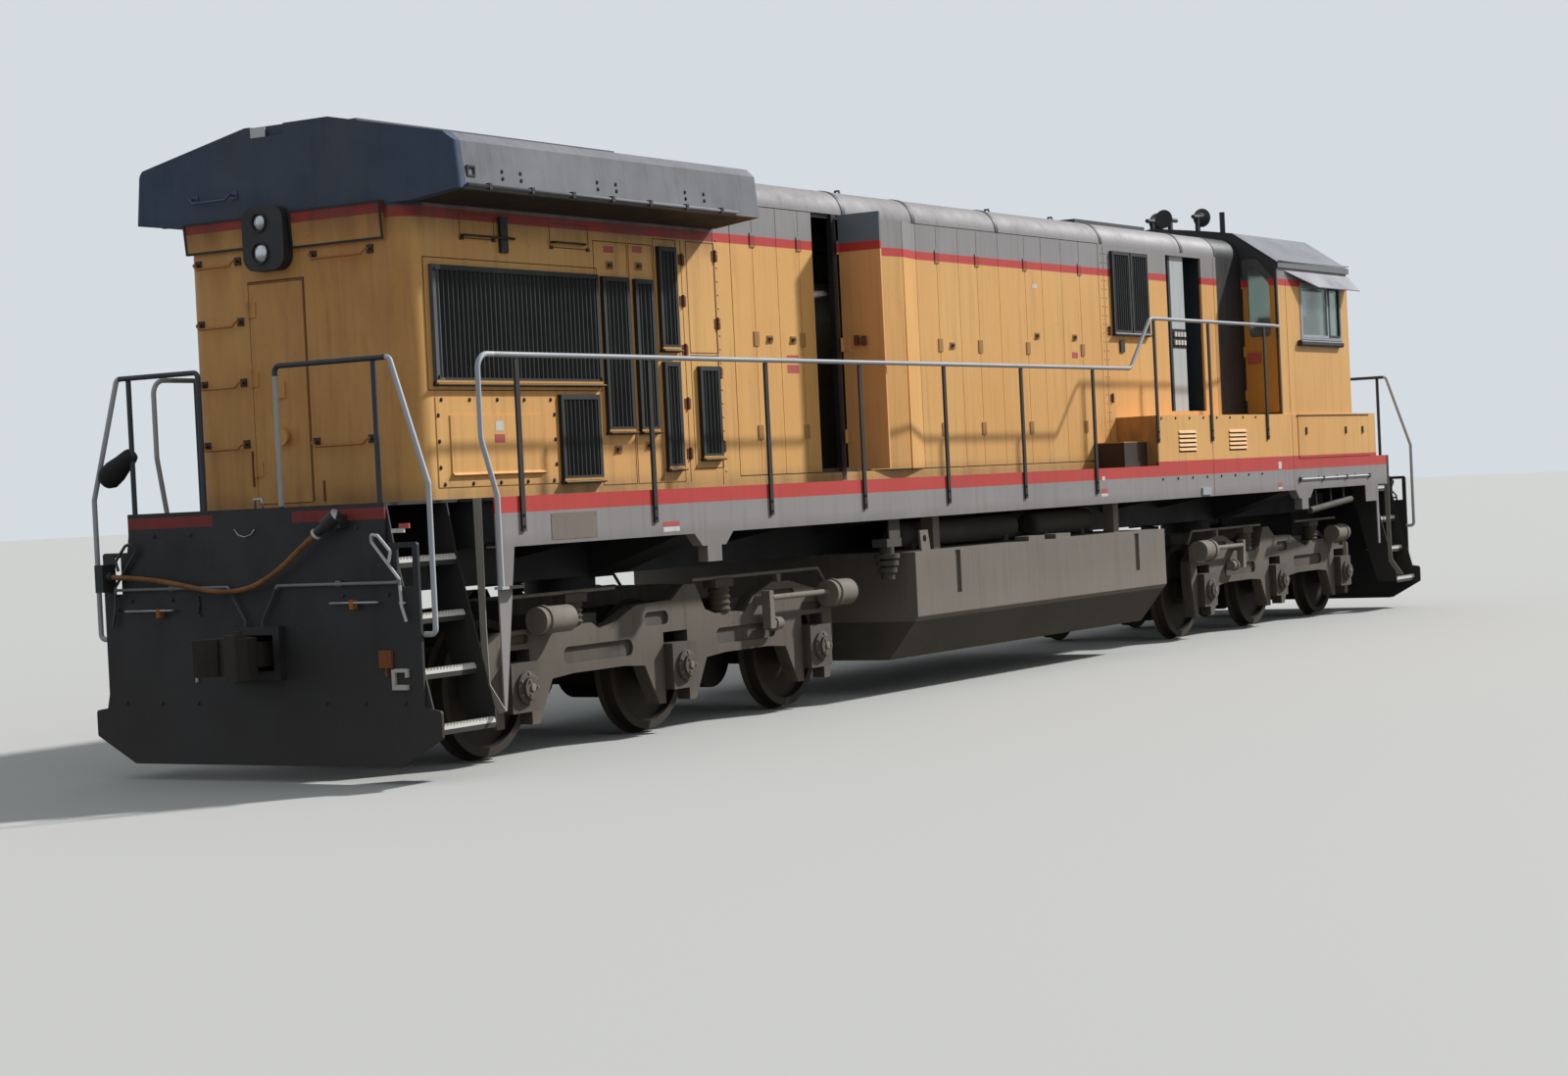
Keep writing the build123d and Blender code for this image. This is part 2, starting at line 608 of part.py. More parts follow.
def underfloor_gear():
    pieces = []
    z = TANK_TOP_Z + RESERVOIR_RADIUS + 20
    for x0, x1 in RESERVOIRS:
        drum = rod((x0, RESERVOIR_Y, z), (x1, RESERVOIR_Y, z), RESERVOIR_RADIUS)
        drum = fillet(drum.edges().filter_by(GeomType.CIRCLE), RESERVOIR_CAP)
        pieces.append(drum)
        for x in (x0 + 250, x1 - 250):
            saddle = block(x - SADDLE_HALF, x + SADDLE_HALF, RESERVOIR_Y - 90, RESERVOIR_Y + 90,
                           TANK_TOP_Z, z - RESERVOIR_RADIUS / 2)
            pieces.append(saddle - rod((x0, RESERVOIR_Y, z), (x1, RESERVOIR_Y, z), RESERVOIR_RADIUS))
    made = both_sides(pieces)
    rings = [(0, FILTER_RINGS[0][1])]
    for radius, low, high in FILTER_RINGS:
        rings += [(radius, low), (radius, high)]
    profile = Plane.XZ * outline(rings + [(0, FILTER_RINGS[-1][2])])
    body = Pos(FILTER_X, FILTER_Y, 0) * revolve(profile, Axis.Z, 360)
    bracket_x = FILTER_X + 75
    low, high = FILTER_RINGS[-1][2], FILTER_RINGS[-1][2] + FILTER_BRACKET
    bracket = block(FILTER_X - 90, bracket_x + 90, FILTER_Y - 90, FILTER_Y + 60, low, high)
    post = block(bracket_x - 95, bracket_x + 95, FILTER_Y + 34, FILTER_Y + 46, high, SKIRT_BOTTOM_Z)
    made += right_side([body, bracket, post])
    (x0, z0), (x1, z1) = PIPE_ENDS
    pipe = rod((x0, PIPE_Y, z0), (x1, PIPE_Y, z1), PIPE_RADIUS)
    hangers = []
    for x in PIPE_HANGERS:
        height = z0 + (z1 - z0) * (x - x0) / (x1 - x0)
        hangers.append(rod((x, PIPE_Y, height), (x, PIPE_Y, SKIRT_BOTTOM_Z), HANGER_RADIUS) - pipe)
    return made + right_side([pipe] + [h.solids().sort_by(Axis.Z)[-1] for h in hangers])


# Radiator section of the long hood: walls round the grille openings, rounded rear corners, number boards
END_DOOR_Y = (-84, 439)
END_DOOR_Z = (1950, 3550)
END_DOOR_SHEET = 22
GRILLE_LAP = 30
# columns: x rear, x front, bottom z, top z of each grille on the side
SIDE_GRILLES = (
    (-9015, -7010, 2750, 3585),
    (-7560, -7060, 2023, 2668),
    (-6950, -6600, 2385, 3577),
    (-6515, -6267, 2383, 3572),
    (-6172, -5925, 3030, 3842),
    (-6160, -5945, 2086, 2931),
    (-5660, -5370, 2160, 2900),
)
BOARD_PROUD = 45
# columns: y of one edge, y of the other, bottom z, top z of the blank number boards
NUMBER_BOARDS = ((400, 1000, 3801, 4030), (-870, -20, 3770, 4040))
# columns: x rear, x front, bottom z, top z, thickness of the sheets laid on the side
SIDE_PANELS = ((-9013, -7600, 2010, 2650, 6), (-8867, -7772, 2112, 2520, 14))


def grille_openings(grilles):
    lap = GRILLE_LAP
    return [(x0 + lap, x1 - lap, z0 + lap, z1 - lap) for x0, x1, z0, z1 in grilles]


def radiator_hood():
    flat_x, flat_y = END_WALL_X + END_CORNER, HOOD_HALF - END_CORNER
    pieces = []
    for side in (-1, 1):
        pieces += side_wall(side, flat_x, RADIATOR_FRONT_X, DECK_TOP_Z, WING_ROOT_Z,
                            grille_openings(SIDE_GRILLES))
        pieces.append(upright_corner(flat_x, side * flat_y, -1, side, END_CORNER, HOOD_WALL, DECK_TOP_Z,
                                     WING_ROOT_Z))
    for y0, y1, z0, z1 in wall_panels(-flat_y, flat_y, DECK_TOP_Z, WING_ROOT_Z, [(*END_DOOR_Y, *END_DOOR_Z)]):
        pieces.append(block(END_WALL_X, END_WALL_X + HOOD_WALL, y0, y1, z0, z1))
    for y0, y1, z0, z1 in NUMBER_BOARDS:
        # Each board leans forward, with a lid along its top
        board = [(END_WALL_X, z0), (END_WALL_X, z1), (END_WALL_X - BOARD_PROUD, z1),
                 (END_WALL_X - BOARD_PROUD / 2, z0)]
        pieces.append(along_y(board, min(y0, y1), max(y0, y1)))
    (x0, x1, z0, z1, sheet), (door_x0, door_x1, door_z0, door_z1, door_out) = SIDE_PANELS
    panel = block(x0, x1, HOOD_HALF, HOOD_HALF + sheet, z0, z1)
    door = block(door_x0, door_x1, HOOD_HALF + sheet, HOOD_HALF + door_out, door_z0, door_z1)
    lip = [(HOOD_HALF + sheet, door_z0 - 30), (HOOD_HALF + door_out + 22, door_z0 - 18),
           (HOOD_HALF + door_out, door_z0), (HOOD_HALF + sheet, door_z0)]
    pieces += both_sides([panel, door, along_x(lip, door_x0, door_x1)])
    return pieces


# A grille: frame, leaning upright slats and a ledge below that throws off rain
SLAT_PITCH = 54
SLAT_THICKNESS = 9
SLAT_LEAN = 14
GRILLE_FRAME = 36
GRILLE_PROUD = 34
LEDGE_PROUD = 58
LEDGE_HEIGHT = 26


def grille(x0, x1, z0, z1):
    wall, front = HOOD_HALF, HOOD_HALF + GRILLE_PROUD
    left, right, low, high = x0 + GRILLE_FRAME, x1 - GRILLE_FRAME, z0 + GRILLE_FRAME, z1 - GRILLE_FRAME
    frame = block(x0, x1, wall, front, z0, z1) - block(left, right, wall - 1, front + 1, low, high)
    count = round((right - left) / SLAT_PITCH)
    step = (right - left) / count
    slats = []
    for index in range(count):
        x = left + step * (index + 0.5)
        tip = front - 5
        slat = [(x - SLAT_LEAN, wall), (x - SLAT_LEAN + SLAT_THICKNESS, wall), (x + SLAT_LEAN, tip),
                (x + SLAT_LEAN - SLAT_THICKNESS, tip)]
        slats.append(along_z(slat, low, high))
    ledge = [(wall, z0 - LEDGE_HEIGHT), (wall + LEDGE_PROUD, z0 - LEDGE_HEIGHT + 8),
             (wall + LEDGE_PROUD, z0 - 6), (wall, z0)]
    return frame + slats + along_x(ledge, x0 - 10, x1 + 10)


def grilles(places):
    return both_sides([grille(*place) for place in places])


# Radiator wings: the wide roof over the rear end, in folded sheet with a solid rounded end
WING_CORNER = ((1423, 4467), (1495, 4400))
WING_INNER_Y = HOOD_HALF - 60
WING_NOTCH = (25, 345, 4597)
WING_NOTCH_DEPTH = 40
WING_HALF_OUTLINE = ((WING_TOP_HALF, WING_TOP_Z), *WING_CORNER, (WING_HALF, WING_BOTTOM_Z),
                     (WING_ROOT_Y, WING_ROOT_Z), (WING_INNER_Y, WING_ROOT_Z))


def inset(points, depth):
    # The same folds one sheet further in; the outline runs from the ridge outwards and down
    inner = []
    for index, (y, z) in enumerate(points):
        # A line that starts on the middle meets its mirror image there, any other a level top
        ways = []
        if index == 0:
            dy, dz = points[1][0] - y, points[1][1] - z
            run = math.hypot(dy, dz)
            ways.append((-dz / run, -dy / run) if y == 0 else (0, -1))
        for a in (index - 1, index):
            if 0 <= a < len(points) - 1:
                dy, dz = points[a + 1][0] - points[a][0], points[a + 1][1] - points[a][1]
                run = math.hypot(dy, dz)
                ways.append((dz / run, -dy / run))
        ny, nz = sum(way[0] for way in ways), sum(way[1] for way in ways)
        reach = depth * len(ways) / (ny * ny + nz * nz)
        inner.append((y + ny * reach, z + nz * reach))
    return inner


def radiator_wings():
    outer = WING_HALF_OUTLINE
    x0, x1 = END_WALL_X + WING_CAP, RADIATOR_FRONT_X - WING_SHEET
    pieces = folded_sheet(over_ridge(outer), over_ridge(inset(outer, WING_SHEET)), x0, x1)
    section = [(0, WING_TOP_Z)] + list(outer[:-1]) + [(0, WING_ROOT_Z)]
    cap = along_x(mirrored(section), END_WALL_X, x0)
    outer_edges = cap.edges().filter_by(lambda e: abs(e.center().Y) > WING_CORNER[1][0])
    cap = fillet(outer_edges.group_by(Axis.X)[0], WING_CAP_ROUND)
    y0, y1, z0 = WING_NOTCH
    cap = cap - block(END_WALL_X - 1, END_WALL_X + WING_NOTCH_DEPTH, y0, y1, z0, WING_TOP_Z + 1)
    pieces.append(cap)
    # The front end is closed by a plate across the top and one outside the hood wall on each side
    corner_y, corner_z = WING_CORNER[0]
    pieces.append(along_x([(corner_y, corner_z), (WING_TOP_HALF, WING_TOP_Z), (-WING_TOP_HALF, WING_TOP_Z),
                           (-corner_y, corner_z)], x1, RADIATOR_FRONT_X))
    side_plate = [(HOOD_HALF, corner_z), *outer[1:-1], (HOOD_HALF, WING_ROOT_Z)]
    pieces += both_sides([along_x(side_plate, x1, RADIATOR_FRONT_X)])
    return pieces


# Hood roof: a flat top between two quarter-round shoulders
def hood_roof(x0, x1):
    flat_y = HOOD_HALF - HOOD_CORNER
    pieces = [block(x0, x1, -flat_y, flat_y, HOOD_TOP_Z - HOOD_WALL, HOOD_TOP_Z)]
    for side in (-1, 1):
        centre = (side * flat_y, HOOD_EAVE_Z)
        ring = rod((x0, *centre), (x1, *centre), HOOD_CORNER)
        ring = ring - rod((x0 - 1, *centre), (x1 + 1, *centre), HOOD_CORNER - HOOD_WALL)
        pieces.append(ring & block(x0, x1, side * flat_y, side * HOOD_HALF, HOOD_EAVE_Z, HOOD_TOP_Z))
    return pieces


# Engine section of the long hood: its frame and the door leaves
OPEN_LEAF_FRONT_X = OPEN_LEAF_HINGE_X + HINGE_OFFSET + OPEN_LEAF_WIDTH + DOOR_GAP
# the folded pair stands out between these two posts
FOLD_PAIR = (OPEN_LEAF_FRONT_X, -1950)
# columns: leaf rear x, leaf front x
DOOR_LEAVES = (
    (-5084, -4747), (-4747, -4366), (-4366, -4007), (-4007, EMPTY_DOORWAY_REAR_X),
    (-1950, -1557), (-1557, -1138), (-1138, -765), (-765, -324), (-324, 237), (237, 602),
    (602, 1045), (1045, 1461), (1461, 1912),
)
FRAME_POSTS = (-5084, -4366, EMPTY_DOORWAY_REAR_X, OPEN_LEAF_FRONT_X, -1950, -1138, -324, 602, 1045, 1912)
POST_HALF = 34


def engine_hood_frame():
    face = HOOD_HALF - DOOR_SHEET
    inner = face - DOOR_FRAME_DEPTH
    foot, head = DOOR_BOTTOM_Z + DOOR_OVERLAP, DOOR_TOP_Z - DOOR_OVERLAP
    jamb = (OPEN_LEAF_HINGE_X - 2 * POST_HALF, OPEN_LEAF_HINGE_X)
    ends = ((RADIATOR_FRONT_X, FRAME_POSTS[0]), (FRAME_POSTS[-1], ENGINE_FRONT_X))
    # columns: x rear, x front, inner y, outer y, bottom z, top z
    boxes = [(RADIATOR_FRONT_X, ENGINE_FRONT_X, inner, face, DECK_TOP_Z, foot),
             (RADIATOR_FRONT_X, ENGINE_FRONT_X, face, HOOD_HALF, DECK_TOP_Z, DOOR_BOTTOM_Z - DOOR_GAP),
             (RADIATOR_FRONT_X, ENGINE_FRONT_X, inner, face, head, HOOD_EAVE_Z),
             (*jamb, inner, face, foot, head),
             (*jamb, face, HOOD_HALF, DOOR_BOTTOM_Z - DOOR_GAP, HOOD_EAVE_Z),
             (ends[0][0], ends[0][1] - POST_HALF, inner, face, foot, head),
             (ends[0][0], ends[0][1] - DOOR_GAP, face, HOOD_HALF, DOOR_BOTTOM_Z - DOOR_GAP, HOOD_EAVE_Z),
             (ends[1][0] + POST_HALF, ends[1][1], inner, face, foot, head),
             (ends[1][0] + DOOR_GAP, ends[1][1], face, HOOD_HALF, DOOR_BOTTOM_Z - DOOR_GAP, HOOD_EAVE_Z)]
    boxes += [(x - POST_HALF, x + POST_HALF, inner, face, foot, head) for x in FRAME_POSTS]
    pieces = both_sides([block(*box) for box in boxes])
    for x in (RADIATOR_FRONT_X, ENGINE_FRONT_X - POST_HALF):
        pieces.append(block(x, x + POST_HALF, -inner, inner, HOOD_EAVE_Z - 120, HOOD_EAVE_Z))
    return pieces


def door_leaf(x0, x1):
    gap = DOOR_GAP / 2
    return block(x0 + gap, x1 - gap, HOOD_HALF - DOOR_SHEET, HOOD_HALF, DOOR_BOTTOM_Z, DOOR_TOP_Z)


def folded_pair():
    # Two leaves hinged to each other, standing out at their crease, which gapes towards the foot
    gap = DOOR_GAP / 2
    out = HOOD_HALF + FOLD_BULGE
    wedge = [(FOLD_CREASE_X - gap, DOOR_TOP_Z + 1), (FOLD_CREASE_X + gap, DOOR_TOP_Z + 1),
             (FOLD_CREASE_X + 4 * gap, DOOR_BOTTOM_Z - 1), (FOLD_CREASE_X - 4 * gap, DOOR_BOTTOM_Z - 1)]
    crease = along_y(wedge, HOOD_HALF - DOOR_SHEET - 1, out + 1)
    leaves = []
    for x, way in ((FOLD_PAIR[0], 1), (FOLD_PAIR[1], -1)):
        plan = [(x + way * gap, HOOD_HALF - DOOR_SHEET), (x + way * gap, HOOD_HALF), (FOLD_CREASE_X, out),
                (FOLD_CREASE_X, out - DOOR_SHEET)]
        leaves.append(along_z(plan, DOOR_BOTTOM_Z, DOOR_TOP_Z) - crease)
    return leaves


def hood_doors(side):
    leaves = [door_leaf(*place) for place in DOOR_LEAVES]
    if side > 0:
        leaves += [door_leaf(EMPTY_DOORWAY_REAR_X, OPEN_LEAF_HINGE_X - 2 * POST_HALF),
                   door_leaf(OPEN_LEAF_HINGE_X, OPEN_LEAF_FRONT_X),
                   door_leaf(OPEN_LEAF_FRONT_X, FOLD_CREASE_X), door_leaf(FOLD_CREASE_X, FOLD_PAIR[1])]
        return leaves
    return right_side(leaves + folded_pair())


# A leaf hung on the right side: hinge axis upright at the origin, leaf towards +X, flush with y = HINGE_RADIUS
def hung_leaf(width, sheet, z0, z1, hinge_levels):
    face = HINGE_RADIUS + HINGE_GAP
    leaf = block(HINGE_OFFSET, HINGE_OFFSET + width, face, face + sheet, z0, z1)
    for z in hinge_levels:
        barrel = rod((0, 0, z), (0, 0, z + HINGE_LENGTH), HINGE_RADIUS)
        strap = block(0, HINGE_OFFSET + 60, 3, face, z + 6, z + HINGE_LENGTH - 6)
        strap = strap - block(-5, HINGE_OFFSET - 1, HINGE_RADIUS - 2, face + 1, z, z + HINGE_LENGTH)
        leaf = leaf + barrel + strap
    return leaf


ENGINE_LEAF_HINGES = (2250, 3050, 3900)


def open_leaf():
    leaf = hung_leaf(OPEN_LEAF_WIDTH, DOOR_SHEET, DOOR_BOTTOM_Z + HINGE_OFFSET, DOOR_TOP_Z,
                     ENGINE_LEAF_HINGES)
    # It stands open at a right angle to the hood side
    return Pos(OPEN_LEAF_HINGE_X, -HOOD_HALF - HINGE_RADIUS - HINGE_GAP, 0) * Rot(0, 0, -90) * leaf


# Small fittings on the hood: latches, hinges of the folding doors, roof joint strips
LATCH_PROUD = 26
# columns: x, z of a latch
LATCHES = ((-4536, 3140), (-4164, 3140), (-1325, 3140), (442, 3265), (1288, 3265),
           (-6809, 2250), (-6387, 2273), (-6814, 3665), (-6422, 3674))
FOLD_HINGE_LEVELS = (2300, 3080, 3900)
STRIP_HALF = 30
STRIP_PROUD = 6
ROOF_STRIPS = (-3225, -1969, -324, 1998, 4046, 4979)
GRAB_BAR_Z = 3806
# columns: x rear, x front of the bars above the shutters, which the doors of the room behind them lift by
GRAB_BARS = ((-8637, -8044), (-7560, -7159))


def roof_strip(x):
    # A joint strip over the whole roof, in its flat top and two shoulders
    flat_y = HOOD_HALF - HOOD_CORNER
    outer, inner = HOOD_CORNER + STRIP_PROUD, HOOD_CORNER
    pieces = [block(x - STRIP_HALF, x + STRIP_HALF, -flat_y, flat_y, HOOD_TOP_Z, HOOD_TOP_Z + STRIP_PROUD)]
    for side in (-1, 1):
        ends = [(x - STRIP_HALF, side * flat_y, HOOD_EAVE_Z), (x + STRIP_HALF, side * flat_y, HOOD_EAVE_Z)]
        ring = rod(*ends, outer) - rod(*ends, inner)
        quarter = block(x - STRIP_HALF, x + STRIP_HALF, side * flat_y, side * (HOOD_HALF + STRIP_PROUD),
                        HOOD_EAVE_Z,
                        HOOD_TOP_Z + STRIP_PROUD)
        pieces.append(ring & quarter)
    return pieces


def hood_trim():
    side = []
    for x, z in LATCHES:
        side.append(block(x - 42, x + 42, HOOD_HALF, HOOD_HALF + 10, z - 30, z + 30))
        side.append(block(x - 30, x + 10, HOOD_HALF + 10, HOOD_HALF + LATCH_PROUD, z - 12, z + 12))
    for x0, x1 in GRAB_BARS:
        y = HOOD_HALF + 45
        side += tube([(x0, HOOD_HALF, GRAB_BAR_Z), (x0, y, GRAB_BAR_Z), (x1, y, GRAB_BAR_Z),
                      (x1, HOOD_HALF, GRAB_BAR_Z)],
                     GRAB_BEND, GRAB_RADIUS)
    pieces = both_sides(side)
    for rear, front in DOOR_LEAVES:
        if front not in FRAME_POSTS:
            for z in FOLD_HINGE_LEVELS:
                pieces += both_sides([block(front - 38, front + 38, HOOD_HALF, HOOD_HALF + 9, z,
                                            z + HINGE_LENGTH)])
    for x in ROOF_STRIPS:
        pieces += roof_strip(x)
    return pieces


# Engine: one plain block in the engine room
ENGINE_REAR_X = -4300
ENGINE_END_X = 900
ENGINE_BASE = (520, 2750)
ENGINE_BANK = (760, 3350)
ENGINE_COVER = (560, 3700)
ENGINE_VALLEY_Z = 3480


def engine_block():
    base = [(0, DECK_TOP_Z), (ENGINE_BASE[0], DECK_TOP_Z), ENGINE_BASE, (0, ENGINE_BASE[1])]
    base = along_x(mirrored(base), ENGINE_REAR_X, ENGINE_END_X)
    bank = [(0, ENGINE_BASE[1]), ENGINE_BASE, ENGINE_BANK, ENGINE_COVER, (0, ENGINE_VALLEY_Z)]
    return [base] + both_sides([along_x(bank, ENGINE_REAR_X, ENGINE_END_X)])


# Roof fittings: exhaust, horns, aerial, roof screens and lifting lugs
STACK_X = -3950
STACK_BASE = (420, 330, 90)
STACK_BOX = (260, 190, 220)
STACK_SHEET = 14
# columns: x rear, x front, half width, foot z, height of a screen
ROOF_SCREENS = ((-8900, -5700, 380, WING_TOP_Z, 20), (2160, 3900, 700, HOOD_TOP_Z, 70))
SCREEN_BAR = 40
SCREEN_PITCH = 200
HORN_X = 6300
HORN_RADIUS = 110
HORN_Z = CAB_TOP_Z + 140
# columns: y, length of the bell, way it points along X
HORNS = ((280, 300, 1), (50, 360, -1), (-300, 260, 1))
AERIAL_X = 7755
AERIAL_RADIUS = 33
AERIAL_TOP_Z = CAB_TOP_Z + 308
# columns: x, half width across the hood
LIFTING_LUGS = ((-2600, 640), (300, 640), (1700, 640))


def exhaust():
    half_x, half_y, height = STACK_BASE
    box_x, box_y, top = STACK_BOX
    base = block(STACK_X - half_x, STACK_X + half_x, -half_y, half_y, HOOD_TOP_Z, HOOD_TOP_Z + height)
    stack = block(STACK_X - box_x, STACK_X + box_x, -box_y, box_y, HOOD_TOP_Z + height, HOOD_TOP_Z + top)
    hole = (STACK_X - box_x + STACK_SHEET, STACK_X + box_x - STACK_SHEET, STACK_SHEET - box_y,
            box_y - STACK_SHEET)
    walls = []
    for x0, x1, y0, y1 in ((STACK_X - box_x, STACK_X + box_x, -box_y, hole[2]),
                           (STACK_X - box_x, STACK_X + box_x, hole[3], box_y),
                           (STACK_X - box_x, hole[0], hole[2], hole[3]),
                           (hole[1], STACK_X + box_x, hole[2], hole[3])):
        walls.append(stack & block(x0, x1, y0, y1, HOOD_TOP_Z, HOOD_TOP_Z + top))
    return [base] + walls


def roof_screen(x0, x1, half_y, z, height):
    # An expanded screen in a frame, its mesh drawn as crossing bars
    frame = block(x0, x1, -half_y, half_y, z, z + height)
    frame = frame - block(x0 + SCREEN_BAR, x1 - SCREEN_BAR, SCREEN_BAR - half_y, half_y - SCREEN_BAR, z - 1,
                          z + height + 1)
    count = round((x1 - x0) / SCREEN_PITCH)
    bars = []
    for index in range(1, count):
        x = x0 + (x1 - x0) * index / count
        bars.append(block(x - 8, x + 8, SCREEN_BAR - half_y, half_y - SCREEN_BAR, z, z + height - 4))
    return frame + bars


def roof_z(y):
    # Height of the cab roof's outer face at some distance from the ridge
    return CAB_TOP_Z - (CAB_TOP_Z - CAB_SHOULDER_Z) * abs(y) / CAB_SHOULDER_Y


def horn(y, length, way):
    bell = [(0, 0), (24, 0), (28, length * 0.55), (HORN_RADIUS * 0.6, length * 0.85), (HORN_RADIUS, length),
            (0, length)]
    shape = Plane.XZ * outline(bell)
    bell = Rot(0, way * 90, 0) * revolve(shape, Axis.Z, 360)
    x = HORN_X - way * length / 2
    foot = [(y - 20, roof_z(y - 20)), (y + 20, roof_z(y + 20)), (y + 20, HORN_Z - 20), (y - 20, HORN_Z - 20)]
    foot = along_x(foot, HORN_X - 30, HORN_X + 30)
    bell = Pos(x, y, HORN_Z) * bell
    return [bell, (foot - bell).solids().sort_by(Axis.Z)[0]]


def roof_fittings():
    pieces = exhaust()
    for x0, x1, half_y, z, height in ROOF_SCREENS:
        pieces.append(roof_screen(x0, x1, half_y, z, height))
    for place in HORNS:
        pieces += horn(*place)
    pieces.append(rod((AERIAL_X, 0, CAB_TOP_Z), (AERIAL_X, 0, AERIAL_TOP_Z), AERIAL_RADIUS))
    for x, y in LIFTING_LUGS:
        lug = along_x([(y - 40, HOOD_TOP_Z), (y + 40, HOOD_TOP_Z), (y + 25, HOOD_TOP_Z + 70),
                       (y - 25, HOOD_TOP_Z + 70)], x - 8, x + 8)
        pieces += both_sides([lug - rod((x - 9, y, HOOD_TOP_Z + 38), (x + 9, y, HOOD_TOP_Z + 38), 18)])
    return pieces


# Equipment section between the engine and the cab
# columns: x rear, x front, bottom z, top z
BRAKE_GRILLES = ((2194, 2622, 3325, 4183), (2646, 3074, 3325, 4183))
CABINET = (3609, 4553, 2510, 4205)
CABINET_DEPTH = 260
CABINET_BOARD = 12
CABINET_PANEL = (3745, 4150)


def equipment_hood():
    openings = grille_openings(BRAKE_GRILLES)
    pieces = side_wall(1, ENGINE_FRONT_X, CAB_REAR_X, DECK_TOP_Z, HOOD_EAVE_Z, openings)
    pieces += side_wall(-1, ENGINE_FRONT_X, CAB_REAR_X, DECK_TOP_Z, HOOD_EAVE_Z, openings + [CABINET])
    return pieces + hood_roof(ENGINE_FRONT_X, CAB_REAR_X)


def cabinet():
    x0, x1, z0, z1 = CABINET
    face = HOOD_HALF - HOOD_WALL
    back = face - CABINET_DEPTH
    board = CABINET_BOARD
    boards = [block(x0 - board, x1 + board, back, back + board, z0 - board, z1 + board)]
    for a, b, low, high in ((x0 - board, x0, z0 - board, z1 + board),
                            (x1, x1 + board, z0 - board, z1 + board),
                            (x0, x1, z0 - board, z0), (x0, x1, z1, z1 + board)):
        boards.append(block(a, b, back + board, face, low, high))
    a, b = CABINET_PANEL
    boards.append(block(a, b, face - 4 * board, face - board, z0, z1))
    return right_side(boards)


# Raised boxes beside the cab, with louvres, a battery door and a step at the rear
LOUVRE_GROUPS = ((2727, 3170), (4068, 4545))
LOUVRE_Z = (2070, 2300)
LOUVRE_COUNT = 5
LOUVRE_PROUD = 14
BATTERY_DOOR = (6090, 8420, 1935, 2425)
BATTERY_DOOR_PROUD = 8
BOX_STEP_REAR_X = 1627
BOX_STEP_TOP_Z = 2185
BOX_STEP_Y = 1398


def raised_box():
    sheet = BOX_SHEET
    top = BOX_TOP_Z - sheet
    pieces = [block(BOX_REAR_X, BOX_FRONT_X, HOOD_HALF, SIDE_Y, top, BOX_TOP_Z),
              block(BOX_REAR_X, BOX_FRONT_X, SIDE_Y - sheet, SIDE_Y, DECK_TOP_Z, top),
              block(BOX_REAR_X, BOX_REAR_X + sheet, HOOD_HALF, SIDE_Y - sheet, DECK_TOP_Z, top),
              block(BOX_FRONT_X - sheet, BOX_FRONT_X, HOOD_HALF, SIDE_Y - sheet, DECK_TOP_Z, top),
              block(CAB_FRONT_X, BOX_FRONT_X - sheet, HOOD_HALF, HOOD_HALF + sheet, DECK_TOP_Z, top)]
    low, high = LOUVRE_Z
    pitch = (high - low) / LOUVRE_COUNT
    for x0, x1 in LOUVRE_GROUPS:
        for index in range(LOUVRE_COUNT):
            z = low + pitch * index
            pieces.append(along_x([(SIDE_Y, z), (SIDE_Y + LOUVRE_PROUD, z), (SIDE_Y, z + pitch * 0.7)], x0,
                                  x1))
    x0, x1, low, high = BATTERY_DOOR
    pieces.append(block(x0, x1, SIDE_Y, SIDE_Y + BATTERY_DOOR_PROUD, low, high))
    step = BOX_STEP_REAR_X, BOX_REAR_X
    step_top = BOX_STEP_TOP_Z - sheet
    pieces += [block(*step, HOOD_HALF, BOX_STEP_Y, step_top, BOX_STEP_TOP_Z),
               block(*step, BOX_STEP_Y - sheet, BOX_STEP_Y, DECK_TOP_Z, step_top),
               block(step[0], step[0] + sheet, HOOD_HALF, BOX_STEP_Y - sheet, DECK_TOP_Z, step_top)]
    return pieces


# Cab floor and the base below it
CAB_FLOOR_PLATE = 40


def cab_base():
    plate = CAB_FLOOR_PLATE
    low, high = DECK_TOP_Z, BOX_TOP_Z - plate
    inner = HOOD_HALF - plate
    pieces = [block(CAB_REAR_X, CAB_FRONT_X, -HOOD_HALF, HOOD_HALF, high, BOX_TOP_Z)]
    pieces += both_sides([block(CAB_REAR_X, CAB_FRONT_X, inner, HOOD_HALF, low, high)])
    for x in (CAB_REAR_X, CAB_FRONT_X - plate):
        pieces.append(block(x, x + plate, -inner, inner, low, high))
    return pieces


# Cab walls: side walls with one wide window each, end walls with a door and windows
CAB_ROOF_HALF = ((0, CAB_TOP_Z), (CAB_SHOULDER_Y, CAB_SHOULDER_Z), (CAB_KNEE_Y, CAB_KNEE_Z),
                 (CAB_HALF, CAB_EAVE_Z),
                 (CAB_HALF, CAB_EAVE_Z - ROOF_SKIRT))
SIDE_WINDOW = (6396, 7635, 3340, 3940)
WINDOW_RADIUS = 60
CAB_DOOR_ROUND = 24
CAB_DOOR_CUT = (190, 245)
WINDOW_RIM = 34
WINDOW_RIM_PROUD = 8
REAR_WINDOW = (1140, 1420, 3340, 3990)
FRONT_WINDOWS = ((180, 620, 3560, 4180), (640, 980, 3560, 4180))
AWNING = {"rear": 5911, "front": 7949, "wall_z": 4097, "edge_rear": 6604, "edge_y": 1650, "edge_z": 3915,
          "sheet": 10}
ARM_REST = (6250, 7590, 3230, 3300)
ARM_REST_PROUD = 60


